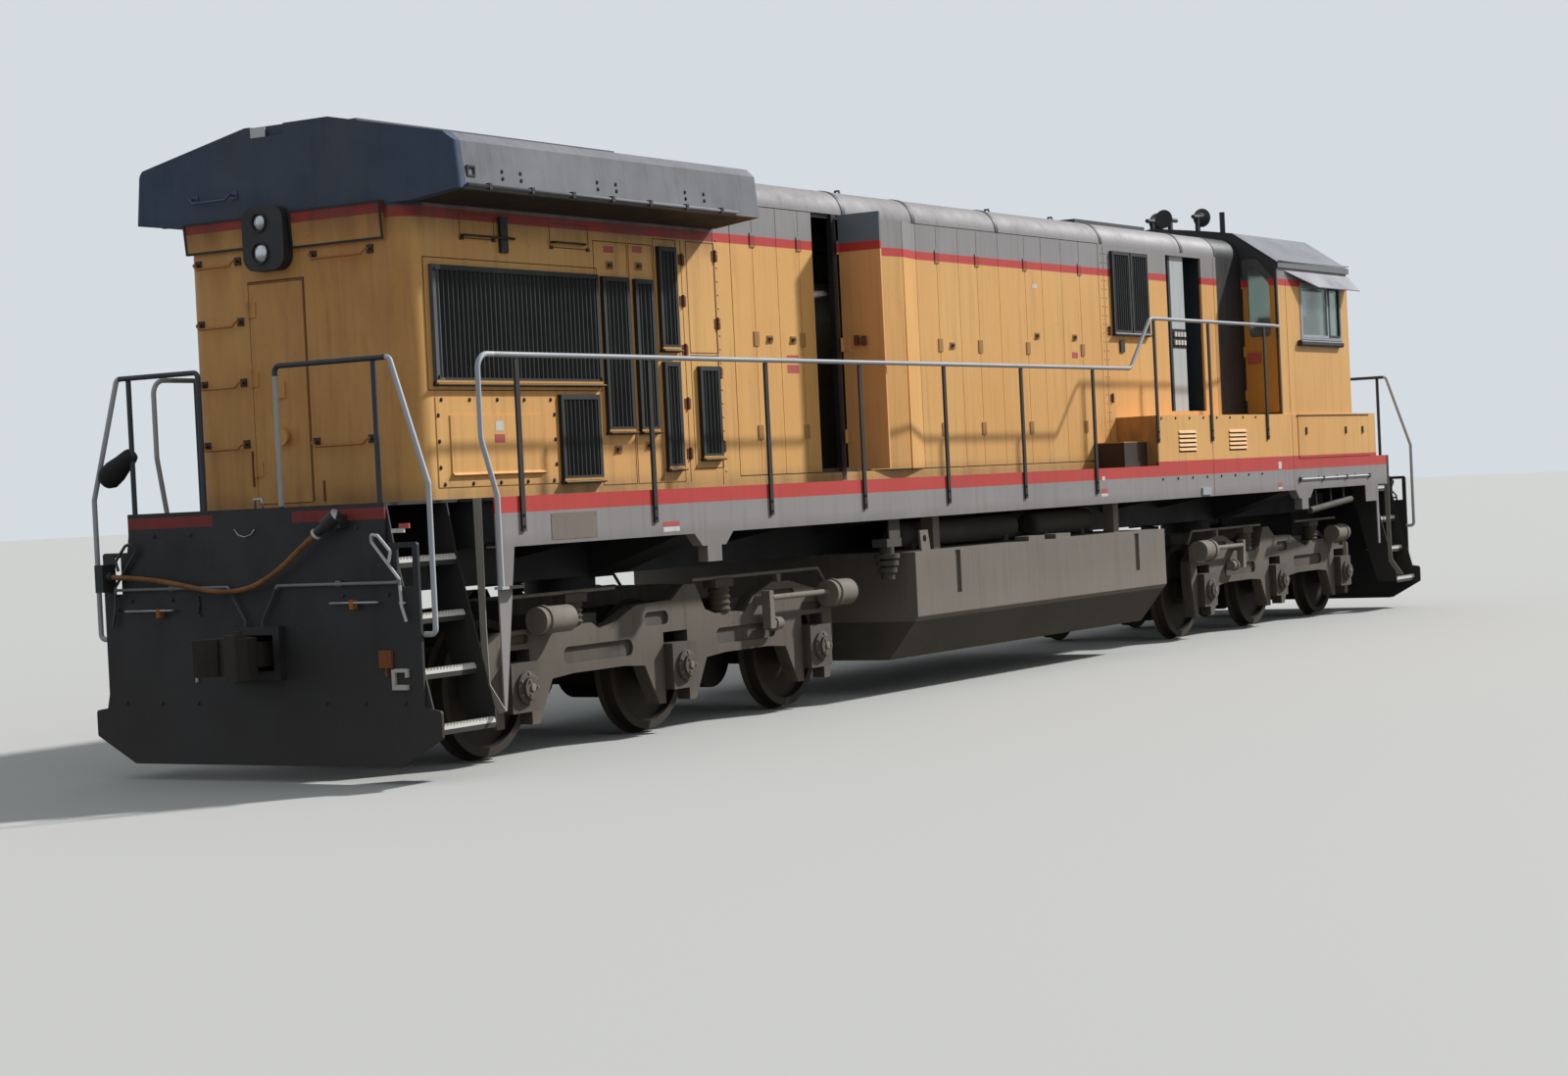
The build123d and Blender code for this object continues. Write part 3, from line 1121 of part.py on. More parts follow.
def cab_door_outline():
    # The corner over the inner edge is square and the outer one is cut off under the roof's slope
    inner, outer, low, high = CAB_DOOR_INNER_Y, CAB_DOOR_OUTER_Y, CAB_DOOR_BOTTOM_Z, CAB_DOOR_TOP_Z
    cut_y, cut_z = CAB_DOOR_CUT
    return [(inner, low), (outer, low), (outer, high - cut_z), (inner + cut_y, high), (inner, high)]


def rounded_along_x(points, radius, x0, x1, margin=0):
    face = outline(points)
    if margin:
        face = offset(face, margin, kind=Kind.INTERSECTION)
    return extrude(Plane.YZ.offset(x0) * fillet(face.vertices(), radius), x1 - x0)


def rounded_along_y(points, radius, y0, y1):
    return extrude(Plane.XZ.offset(-y1) * fillet(outline(points).vertices(), radius), y1 - y0)


def rectangle(a0, a1, b0, b1):
    return [(a0, b0), (a1, b0), (a1, b1), (a0, b1)]


def cab_end_wall(x0, end):
    roof = inset(CAB_ROOF_HALF, ROOF_SHEET)
    section = [(0, BOX_TOP_Z), (roof[-1][0], BOX_TOP_Z)] + list(reversed(roof))
    section = [point for index, point in enumerate(section) if index == 0 or point != section[index - 1]]
    x1 = x0 + CAB_WALL
    wall = along_x(section + [(-y, z) for y, z in reversed(section) if y > 0], x0, x1)
    holes = [(cab_door_outline(), CAB_DOOR_ROUND + DOOR_RUNNING_GAP, DOOR_RUNNING_GAP),
             (rectangle(*(-y for y in REAR_WINDOW[:2]), *REAR_WINDOW[2:]), WINDOW_RADIUS, 0)]
    if end > 0:
        for y0, y1, z0, z1 in FRONT_WINDOWS:
            for side in (-1, 1):
                holes.append((rectangle(side * y0, side * y1, z0, z1), WINDOW_RADIUS, 0))
    for points, radius, margin in holes:
        # The rear door is on the right side, the front door on the left
        wall = wall - rounded_along_x([(end * y, z) for y, z in points], radius, x0 - 1, x1 + 1, margin)
    return wall


def cab_walls():
    inner = CAB_WALL_Y - CAB_WALL
    x0, x1 = CAB_REAR_X + CAB_WALL, CAB_FRONT_X - CAB_WALL
    wx0, wx1, wz0, wz1 = SIDE_WINDOW
    hole = (wx0 - WINDOW_RIM, wx1 + WINDOW_RIM, wz0 - WINDOW_RIM, wz1 + WINDOW_RIM)
    side = [block(a, b, inner, CAB_WALL_Y, low, high)
            for a, b, low, high in wall_panels(x0, x1, BOX_TOP_Z, CAB_EAVE_Z - ROOF_SHEET, [hole])]
    rim = block(hole[0], hole[1], inner, CAB_WALL_Y + WINDOW_RIM_PROUD, hole[2], hole[3])
    side.append(rim - rounded_along_y(rectangle(*SIDE_WINDOW), WINDOW_RADIUS, inner - 1,
                                      CAB_WALL_Y + WINDOW_RIM_PROUD + 1))
    rest = rounded_along_x(rectangle(CAB_WALL_Y, CAB_WALL_Y + ARM_REST_PROUD, *ARM_REST[2:]), 24,
                           *ARM_REST[:2])
    side.append(rest)
    # The awning is a plate that slopes down from the wall, cut off at its rear corner
    spread, fall = AWNING["edge_y"] - CAB_WALL_Y, AWNING["wall_z"] - AWNING["edge_z"]
    plan = [(AWNING["rear"], CAB_WALL_Y), (AWNING["edge_rear"], AWNING["edge_y"]),
            (AWNING["front"], AWNING["edge_y"]),
            (AWNING["front"], CAB_WALL_Y)]
    slope = [(CAB_WALL_Y, AWNING["wall_z"]), (CAB_WALL_Y + spread, AWNING["wall_z"] - fall),
             (CAB_WALL_Y + spread, AWNING["wall_z"] - fall - AWNING["sheet"]),
             (CAB_WALL_Y, AWNING["wall_z"] - AWNING["sheet"])]
    side.append(along_z(plan, AWNING["edge_z"] - 2 * AWNING["sheet"], AWNING["wall_z"] + 1)
                & along_x(slope, AWNING["rear"], AWNING["front"]))
    return both_sides(side) + [cab_end_wall(CAB_REAR_X, -1), cab_end_wall(x1, 1)]


def cab_roof():
    return folded_sheet(over_ridge(CAB_ROOF_HALF), over_ridge(inset(CAB_ROOF_HALF, ROOF_SHEET)), CAB_REAR_X,
                        CAB_FRONT_X + 30)


CAB_DOOR_HINGES = (2620, 3120, 3900)
CAB_DOOR_RIM = 60
CAB_DOOR_LIGHT_Z = 3340


def cab_door(end):
    inner, rim = CAB_DOOR_INNER_Y, CAB_DOOR_RIM
    top = CAB_DOOR_TOP_Z - rim * 1.5
    light = [(inner + rim, CAB_DOOR_LIGHT_Z), (CAB_DOOR_OUTER_Y - rim, CAB_DOOR_LIGHT_Z),
             (CAB_DOOR_OUTER_Y - rim, top - 215), (inner + rim + 110, top), (inner + rim, top)]
    middle = CAB_DOOR_SHEET / 2
    leaf = rounded_along_x(cab_door_outline(), CAB_DOOR_ROUND, 0, CAB_DOOR_SHEET)
    leaf = leaf - rounded_along_x(light, 50, -1, CAB_DOOR_SHEET + 1)
    pane = rounded_along_x(light, 50, middle - GLASS / 2, middle + GLASS / 2)
    axis_x, axis_y = -HINGE_RADIUS - HINGE_GAP, inner - HINGE_OFFSET
    for z in CAB_DOOR_HINGES:
        barrel = rod((axis_x, axis_y, z), (axis_x, axis_y, z + HINGE_LENGTH), HINGE_RADIUS)
        strap = block(axis_x + 3, 0, axis_y, inner + 50, z + 6, z + HINGE_LENGTH - 6)
        strap = strap - block(-2, 1, axis_y - 5, inner - 1, z, z + HINGE_LENGTH)
        leaf = leaf + barrel + strap
    place = Pos(CAB_REAR_X, 0, 0)
    leaf, pane = mirror(place * leaf, about=Plane.XZ), mirror(place * pane, about=Plane.XZ)
    if end > 0:
        # The front door is the same leaf, turned to the other corner
        middle_x = (CAB_REAR_X + CAB_FRONT_X) / 2
        swing = Pos(middle_x, 0, 0) * Rot(0, 0, 180) * Pos(-middle_x, 0, 0)
        leaf, pane = swing * leaf, swing * pane
    return leaf, pane


def cab_glass():
    middle = CAB_WALL_Y - CAB_WALL / 2
    panes = both_sides([rounded_along_y(rectangle(*SIDE_WINDOW), WINDOW_RADIUS, middle - GLASS / 2,
                                        middle + GLASS / 2)])
    x = CAB_REAR_X + CAB_WALL / 2
    y0, y1, z0, z1 = REAR_WINDOW
    panes.append(rounded_along_x(rectangle(y0, y1, z0, z1), WINDOW_RADIUS, x - GLASS / 2, x + GLASS / 2))
    x = CAB_FRONT_X - CAB_WALL / 2
    for y0, y1, z0, z1 in ((-y1, -y0, z0, z1),) + FRONT_WINDOWS:
        panes.append(rounded_along_x(rectangle(y0, y1, z0, z1), WINDOW_RADIUS, x - GLASS / 2, x + GLASS / 2))
    for y0, y1, z0, z1 in FRONT_WINDOWS:
        panes.append(rounded_along_x(rectangle(-y0, -y1, z0, z1), WINDOW_RADIUS, x - GLASS / 2,
                                     x + GLASS / 2))
    return panes


# Control stand and the two seats, on the cab floor
SEAT_X = 6640
SEAT_Y = 950
SEAT_HEIGHT = 420
SEAT_HALF = 230
SEAT_PAD = 110
SEAT_BACK = 570
STAND_X = (7000, 7420)
STAND_Y = (620, 1180)
STAND_HEIGHT = 1150


def cab_interior():
    floor = BOX_TOP_Z
    x0, x1 = STAND_X
    desk = [(x0, floor), (x1, floor), (x1, floor + STAND_HEIGHT), (x1 - 170, floor + STAND_HEIGHT + 50),
            (x0, floor + STAND_HEIGHT - 150)]
    pieces = right_side([along_y(desk, *STAND_Y)])
    pad_z = floor + SEAT_HEIGHT
    foot = rod((SEAT_X, SEAT_Y, floor), (SEAT_X, SEAT_Y, pad_z), 60)
    pad = block(SEAT_X - SEAT_HALF, SEAT_X + SEAT_HALF, SEAT_Y - SEAT_HALF, SEAT_Y + SEAT_HALF, pad_z,
                pad_z + SEAT_PAD)
    pad = fillet(pad.edges().filter_by(Axis.Z), 50)
    rear = SEAT_X - SEAT_HALF
    back = along_y([(rear - 80, pad_z), (rear, pad_z), (rear, pad_z + SEAT_BACK),
                    (rear - 50, pad_z + SEAT_BACK)],
                   SEAT_Y - SEAT_HALF + 10, SEAT_Y + SEAT_HALF - 10)
    return pieces + both_sides([foot, pad, back])


# Short hood in front of the cab
def short_hood():
    sheet, corner = NOSE_SHEET, NOSE_CORNER
    low, high = DECK_TOP_Z, NOSE_TOP_Z - NOSE_SHEET
    x, y = NOSE_FRONT_X - corner, NOSE_HALF - corner
    pieces = both_sides([block(CAB_FRONT_X, x, NOSE_HALF - sheet, NOSE_HALF, low, high),
                         upright_corner(x, y, 1, 1, corner, sheet, low, high)])
    pieces.append(block(NOSE_FRONT_X - sheet, NOSE_FRONT_X, -y, y, low, high))
    top = block(CAB_FRONT_X, NOSE_FRONT_X, -NOSE_HALF, NOSE_HALF, high, NOSE_TOP_Z)
    pieces.append(fillet(top.edges().filter_by(Axis.Z).group_by(Axis.X)[-1], corner))
    return pieces


# End door in the rear wall, opening on the platform, hinged on its left edge
END_DOOR_HINGES = (2150, 2800, 3300)
KNOB = (149, 2431, 65)
KNOB_NECK = 22
LATCH_PLATE = (165, 2770)


def end_door():
    y0, y1 = END_DOOR_Y
    z0, z1 = END_DOOR_Z
    leaf = hung_leaf(y1 - y0 - 2 * HINGE_OFFSET, END_DOOR_SHEET, z0 + HINGE_OFFSET, z1 - HINGE_OFFSET,
                     END_DOOR_HINGES)
    # Turned so that the leaf runs towards -Y with its face on the end wall
    leaf = Pos(END_WALL_X - HINGE_RADIUS - HINGE_GAP, y1, 0) * Rot(0, 0, -90) * leaf
    y, z, radius = KNOB
    leaf = leaf + rod((END_WALL_X, y, z), (END_WALL_X - 40, y, z), KNOB_NECK)
    leaf = leaf + rod((END_WALL_X - 40, y, z), (END_WALL_X - 58, y, z), radius)
    y, z = LATCH_PLATE
    return leaf + block(END_WALL_X - 14, END_WALL_X, y - 40, y + 40, z - 60, z + 60)


# Headlights in their housings
# columns: z of a lamp, its radius
REAR_LAMPS = ((3975, 73), (3755, 83))
REAR_LAMP_Y = 215
REAR_HOUSING = (-10, 380, 3627, 4090)
FRONT_LAMPS = ((4295, 83), (4505, 83))
FRONT_HOUSING = (-150, 150, 4170, 4630)
HOUSING_DEPTH = 96
HOUSING_ROUND = 110
LAMP_RECESS = 36
BEZEL = 12


def lamps(housing, places, y, wall, way):
    # Bezels stand proud of the housing and a lens sits back in each
    y0, y1, z0, z1 = housing
    front = wall + way * HOUSING_DEPTH
    ends = sorted((wall, front))
    body = rounded_along_x(rectangle(y0, y1, z0, z1), HOUSING_ROUND, *ends)
    pieces = []
    for z, radius in places:
        body = body - rod((front - way * LAMP_RECESS, y, z), (front + way, y, z), radius)
        ring = rod((front - way * LAMP_RECESS, y, z), (front + way * BEZEL, y, z), radius)
        pieces.append(ring - rod((front - way * LAMP_RECESS, y, z), (front + way * (BEZEL + 1), y, z),
                                 radius - BEZEL))
        lens = rod((front - way * LAMP_RECESS, y, z), (front - way * BEZEL, y, z), radius - BEZEL)
        pieces.append(fillet(lens.edges().sort_by(Axis.X)[-1 if way > 0 else 0], LAMP_RECESS - 2 * BEZEL))
    return [body] + pieces


# Coupler: shank, head, guard arm and knuckle
SHANK_HALF = 85
HEAD_X = END_X + 130
HEAD_HEIGHT = 130
KNUCKLE_HEIGHT = 160
THROAT_X = END_X + 330


def coupler():
    face, low, high = COUPLER_FACE_X, COUPLER_Z - HEAD_HEIGHT, COUPLER_Z + HEAD_HEIGHT
    shank = block(POCKET_REAR_X, HEAD_X, -SHANK_HALF, SHANK_HALF, COUPLER_Z - SHANK_HALF,
                  COUPLER_Z + SHANK_HALF)
    head = along_z([(HEAD_X, -110), (THROAT_X - 100, -190), (THROAT_X, -210), (THROAT_X, 200),
                    (THROAT_X - 110, 170),
                    (HEAD_X, 110)], low, high)
    guard = along_z([(THROAT_X, -210), (face - 40, -230), (face, -190), (THROAT_X + 20, -60),
                     (THROAT_X, -60)], low, high)
    knuckle = along_z([(THROAT_X, 60), (face - 60, 62), (face, 95), (face - 10, 190), (THROAT_X, 200)],
                      COUPLER_Z - KNUCKLE_HEIGHT, COUPLER_Z + KNUCKLE_HEIGHT)
    knuckle = fillet(knuckle.edges().filter_by(Axis.Z).filter_by(lambda e: e.center().X > THROAT_X + 1), 22)
    pin = rod((THROAT_X + 40, 150, COUPLER_Z + KNUCKLE_HEIGHT),
              (THROAT_X + 40, 150, COUPLER_Z + KNUCKLE_HEIGHT + 24), 32)
    return [shank, head, guard, knuckle, pin]


# Wheelset: axle with its journals, two rolled wheels and the bull gear
GEAR_BORE = AXLE_RADIUS
FLANGE_TIP = 12


def turned_ring(points):
    # points are (radius, y), turned about the axle
    return Pos(0, 0, AXLE_Z) * revolve(outline(points), Axis.Y, 360)


def wheelset():
    inner = BACK_TO_BACK / 2
    outer = inner + RIM_WIDTH
    hub = outer + HUB_PROUD
    seat = hub + HUB_PROUD
    web_y = inner + RIM_WIDTH / 2
    web = WEB_THICKNESS / 2
    rim = WHEEL_RADIUS - RIM_DEPTH
    tip = WHEEL_RADIUS + FLANGE_HEIGHT
    axle = turned_ring([(0, -JOURNAL_REACH), (JOURNAL_RADIUS, -JOURNAL_REACH), (JOURNAL_RADIUS, -seat),
                        (AXLE_RADIUS, -seat), (AXLE_RADIUS, seat), (JOURNAL_RADIUS, seat),
                        (JOURNAL_RADIUS, JOURNAL_REACH), (0, JOURNAL_REACH)])
    wheel = turned_ring([(AXLE_RADIUS, inner - HUB_PROUD), (HUB_RADIUS, inner - HUB_PROUD),
                         (HUB_RADIUS, web_y - web),
                         (rim, web_y - 2 * web), (rim, inner), (tip - FLANGE_TIP, inner),
                         (tip, inner + FLANGE_TIP),
                         (WHEEL_RADIUS, inner + FLANGE_WIDTH + FLANGE_TIP), (WHEEL_RADIUS - 4, outer),
                         (rim, outer),
                         (rim, web_y), (HUB_RADIUS, web_y + web), (HUB_RADIUS, hub), (AXLE_RADIUS, hub)])
    y0, y1 = BULL_GEAR_Y
    gear = turned_ring([(GEAR_BORE, y0), (BULL_GEAR_RADIUS, y0), (BULL_GEAR_RADIUS, y1), (GEAR_BORE, y1)])
    return [axle, gear] + both_sides([wheel])


# Truck frame: two cast side frames, transoms and the centre beam with its bowl
# top edge of a side frame, from the outer end to the end nearer the tank: x from the truck centre, z
FRAME_TOP = (
    (-FRAME_END_X, 860), (-2230, 940), (-1640, 960), (-1400, SPRING_FOOT_Z), (-1110, SPRING_FOOT_Z),
    (-1010, 890),
    (-780, 940), (-520, 1040), (-30, 1050), (141, 1162), (310, 1162), (440, 950), (590, SPRING_FOOT_Z_LOW),
    (900, SPRING_FOOT_Z_LOW), (1030, 890), (1150, 1010), (1460, 1110), (1730, 1110), (2230, 1000),
    (FRAME_END_X, 860),
)
# underside between two pedestals: x from their middle, z
FRAME_BELLY = ((600, 565), (330, 585), (-330, 585), (-600, 565))
FRAME_END_Z = 620
# hollows cast into the outer face: x from the truck centre, z, length, height
FRAME_HOLLOWS = ((-2070, 880, 330, 70), (-1035, 720, 900, 130), (-250, 920, 330, 110), (1035, 720, 900, 130),
                 (1600, 1000, 420, 90), (2070, 880, 330, 70))
HOLLOW_DEPTH = 30


def pedestal(x):
    # Jaws of one pedestal seen from the side, from its +X foot to its -X foot
    toe = PEDESTAL_HALF + PEDESTAL_TOE
    return [(x + toe, PEDESTAL_FOOT_Z), (x + PEDESTAL_HALF, PEDESTAL_FOOT_Z),
            (x + PEDESTAL_HALF, PEDESTAL_TOP_Z), (x - PEDESTAL_HALF, PEDESTAL_TOP_Z),
            (x - PEDESTAL_HALF, PEDESTAL_FOOT_Z), (x - toe, PEDESTAL_FOOT_Z)]


def side_frame():
    lower = [(FRAME_END_X, FRAME_END_Z)]
    for x in (AXLE_PITCH, 0, -AXLE_PITCH):
        lower += pedestal(x)
        if x > -AXLE_PITCH:
            lower += [(x - AXLE_PITCH / 2 + dx, z) for dx, z in FRAME_BELLY]
    lower.append((-FRAME_END_X, FRAME_END_Z))
    frame = along_y(list(FRAME_TOP) + lower, FRAME_INNER_Y, FRAME_OUTER_Y)
    for x, z, length, height in FRAME_HOLLOWS:
        slot = extrude(SlotOverall(length, height), HOLLOW_DEPTH, both=True)
        frame = frame - Pos(x, FRAME_OUTER_Y, z) * Rot(90, 0, 0) * slot
    return frame


def truck_frame():
    pieces = both_sides([side_frame()])
    for x in (-TRANSOM_X, TRANSOM_X):
        pieces.append(block(x - TRANSOM_HALF, x + TRANSOM_HALF, -FRAME_INNER_Y, FRAME_INNER_Y,
                            TRANSOM_BOTTOM_Z, TRANSOM_TOP_Z))
    reach = TRANSOM_X + TRANSOM_HALF
    beam = block(-reach, reach, -CENTRE_BEAM_HALF, CENTRE_BEAM_HALF, TRANSOM_TOP_Z, CENTRE_BEAM_TOP_Z)
    bowl = rod((0, 0, CENTRE_BEAM_TOP_Z - CENTRE_BOWL_DEPTH), (0, 0, CENTRE_BEAM_TOP_Z + 1),
               CENTRE_PLATE_RADIUS + BEARING_GAP)
    pieces.append(beam - bowl)
    return pieces


# Axle boxes: a cast box between the pedestals with a round stepped cover
BOX_HALF_HEIGHT = 180
COVER_RADIUS = 120
COVER_STEP = 82
COVER_LENGTH = 60


def axle_boxes():
    inner, joint = FRAME_INNER_Y - 30, BOX_OUTER_Y - COVER_LENGTH
    made = []
    for x in (-AXLE_PITCH, 0, AXLE_PITCH):
        box = block(x - PEDESTAL_HALF, x + PEDESTAL_HALF, inner, joint, AXLE_Z - BOX_HALF_HEIGHT,
                    AXLE_Z + BOX_HALF_HEIGHT)
        cover = Pos(x, 0, 0) * turned_ring([(0, joint), (COVER_RADIUS, joint), (COVER_RADIUS, joint + 24),
                                            (COVER_STEP, joint + 34), (COVER_STEP, BOX_OUTER_Y),
                                            (0, BOX_OUTER_Y)])
        bore = rod((x, inner - 1, AXLE_Z), (x, JOURNAL_REACH + BEARING_GAP, AXLE_Z),
                   JOURNAL_RADIUS + BEARING_GAP)
        made.append(box + cover - bore)
    return both_sides(made)


# Truck springs: nested coils drawn as a stack of rings under a cast cap
SPRING_Y = (FRAME_INNER_Y + FRAME_OUTER_Y) / 2
SPRING_CAP = (135, 60)
SPRING_GROOVE = 16
# columns: x from the truck centre, foot z
SPRINGS = ((-1290, SPRING_FOOT_Z), (745, SPRING_FOOT_Z_LOW))


def truck_springs():
    made = []
    for x, foot_z in SPRINGS:
        rise = (SPRING_TOP_Z - foot_z) / SPRING_RINGS
        profile = [(0, foot_z)]
        for ring in range(SPRING_RINGS):
            z = foot_z + ring * rise
            profile += [(SPRING_RADIUS - SPRING_GROOVE, z), (SPRING_RADIUS, z + rise / 2)]
        profile += [(SPRING_RADIUS - SPRING_GROOVE, SPRING_TOP_Z), (0, SPRING_TOP_Z)]
        coil = Pos(x, SPRING_Y, 0) * revolve(Plane.XZ * outline(profile), Axis.Z, 360)
        half_x, half_y = SPRING_CAP
        cap = block(x - half_x, x + half_x, SPRING_Y - half_y, SPRING_Y + half_y, SPRING_TOP_Z,
                    SPRING_CAP_TOP_Z)
        made.append(coil + cap)
    return both_sides(made)


# Traction motors, one on each axle, its nose on the transom
MOTOR_RADIUS = 285
MOTOR_OFFSET = 560
MOTOR_Y = (-430, 300)
MOTOR_DROP = 20
MOTOR_NOSE_HALF = 120
BEARING_TUBE_RADIUS = 150
MOTOR_ARM_HALF = 110


def traction_motors():
    made = []
    y0, y1 = MOTOR_Y
    for x, nose in ((-AXLE_PITCH, 1), (0, 1), (AXLE_PITCH, -1)):
        centre = x + nose * MOTOR_OFFSET
        body = rod((centre, y0, AXLE_Z - MOTOR_DROP), (centre, y1, AXLE_Z - MOTOR_DROP), MOTOR_RADIUS)
        bearing = rod((x, y0, AXLE_Z), (x, y1, AXLE_Z), BEARING_TUBE_RADIUS)
        arm = block(x, centre, y0, y1, AXLE_Z - MOTOR_ARM_HALF, AXLE_Z + MOTOR_ARM_HALF)
        transom = TRANSOM_X if x >= 0 else -TRANSOM_X
        lug = block(centre, transom, -MOTOR_NOSE_HALF, MOTOR_NOSE_HALF, AXLE_Z + MOTOR_NOSE_HALF,
                    TRANSOM_BOTTOM_Z)
        clear = rod((x, y0 - 1, AXLE_Z), (x, y1 + 1, AXLE_Z), AXLE_RADIUS + BEARING_GAP)
        made.append(fused([body, bearing, arm, lug]) - clear)
    return made


# Brake gear on a side frame: cylinders on their brackets, rods and the pipe above
# columns: x rear, x front, z, radius of each cylinder, slack adjuster or rod
BRAKE_DRUMS = ((-1950, -1570, 1010, 100), (2140, 2470, 975, 112), (1280, 1448, 770, 52))
BRAKE_ROD = ((1250, 2140), 990, 24)
BRAKE_BRACKET = 14
BRAKE_FLANGE = 12
PIPE_RADIUS_TRUCK = 14
PIPE_LINE_Y = 1070
# columns: x from the truck centre, z of the pipe above the side frame
BRAKE_PIPES = (((-2066, 1189), (-752, 1189)), ((314, 1189), (2255, 1189), (2380, 1051)))
PIPE_CLIPS = ((1600, 1110),)


def truck_brakes():
    side = []
    for x0, x1, z, radius in BRAKE_DRUMS:
        y = FRAME_OUTER_Y + BRAKE_BRACKET + radius
        drum = rod((x0, y, z), (x1, y, z), radius)
        drum = drum + rod((x0 + 60, y, z), (x0 + 84, y, z), radius + BRAKE_FLANGE)
        plate = block(x0 + 90, x1 - 30, FRAME_OUTER_Y, FRAME_OUTER_Y + BRAKE_BRACKET + radius / 3, z - radius,
                      z + radius / 2)
        side.append(drum + plate - block(x0, x1, 0, FRAME_OUTER_Y, z - 2 * radius, z + 2 * radius))
    (x0, x1), z, radius = BRAKE_ROD
    y = FRAME_OUTER_Y + BRAKE_BRACKET + BRAKE_DRUMS[1][3]
    side.append(rod((x0, y, z), (x1, y, z), radius))
    lever = [(x0 - 60, z - 250), (x0 + 20, z - 250), (x0, z - 40), (x0, z + 60), (x0 - 60, z + 60)]
    side.append(along_y(lever, y - 60, y + 20))
    side.append(block(x0 - 60, x0 - 10, FRAME_OUTER_Y, y - 60, z - 60, z + 20))
    for places in BRAKE_PIPES:
        side += tube([(x, PIPE_LINE_Y, z) for x, z in places], 40, PIPE_RADIUS_TRUCK)
    for x, z in PIPE_CLIPS:
        side.append(block(x - 30, x + 30, PIPE_LINE_Y - 20, PIPE_LINE_Y + 20, z, SPRING_CAP_TOP_Z))
    return both_sides(side)


# Jumper cable across the rear pilot: its route and the sockets that it goes into
CABLE_RADIUS = 19
CABLE_X = END_X + 80
# columns: y, z, along the pilot from the left socket to the right one
CABLE_ROUTE = ((1300, 1478), (1137, 1468), (940, 1452), (740, 1427), (540, 1390), (350, 1357),
               (165, 1347), (-15, 1369), (-190, 1432), (-360, 1530), (-505, 1637), (-640, 1722))
PLUG_RADIUS = 34
PLUG_LENGTH = 118
SOCKET_RADIUS = 52
SOCKET_LENGTH = 130
LEFT_SOCKET = (1345, 1425, 1370, 1570)
# the plate behind it covers the slot of the pilot
SOCKET_PLATE = (10, 40, 60)


def cable_points():
    return [Vector(-CABLE_X, y, z) for y, z in CABLE_ROUTE]


def bend_radii(points):
    # Each arc is as large as its two runs allow
    radii = []
    for before, here, after in zip(points, points[1:], points[2:]):
        turn = math.radians((here - before).get_angle(after - here))
        shorter = min((here - before).length, (after - here).length)
        radii.append(0.45 * shorter / math.tan(turn / 2))
    return radii


def jumper_cable():
    points = cable_points()
    radii = bend_radii(points)
    print("cable bend radii", [round(radius) for radius in radii])
    return fused(tube(points, radii, CABLE_RADIUS))


def jumper_sockets():
    points = cable_points()
    first = (points[1] - points[0]).normalized()
    y0, y1, z0, z1 = LEFT_SOCKET
    thickness, below, above = SOCKET_PLATE
    left = block(-CABLE_X - SOCKET_RADIUS, -END_X, y0, y1, z0, z1)
    left = left + block(-END_X - thickness, -END_X, y0, y1, z0 - below, z1 + above)
    left = left + rod(points[0] - first * 2 * SOCKET_RADIUS, points[0], PLUG_RADIUS)
    way = (points[-1] - points[-2]).normalized()
    plug_end = points[-1] + way * PLUG_LENGTH
    socket_end = plug_end + way * SOCKET_LENGTH
    plug = rod(points[-1], plug_end, PLUG_RADIUS)
    bracket = block(-CABLE_X, -END_X, socket_end.Y - 20, plug_end.Y - 20, plug_end.Z - 20, socket_end.Z)
    socket = rod(plug_end, socket_end, SOCKET_RADIUS) + bracket - rod(points[-1], plug_end, SOCKET_RADIUS)
    return [left, plug, socket]


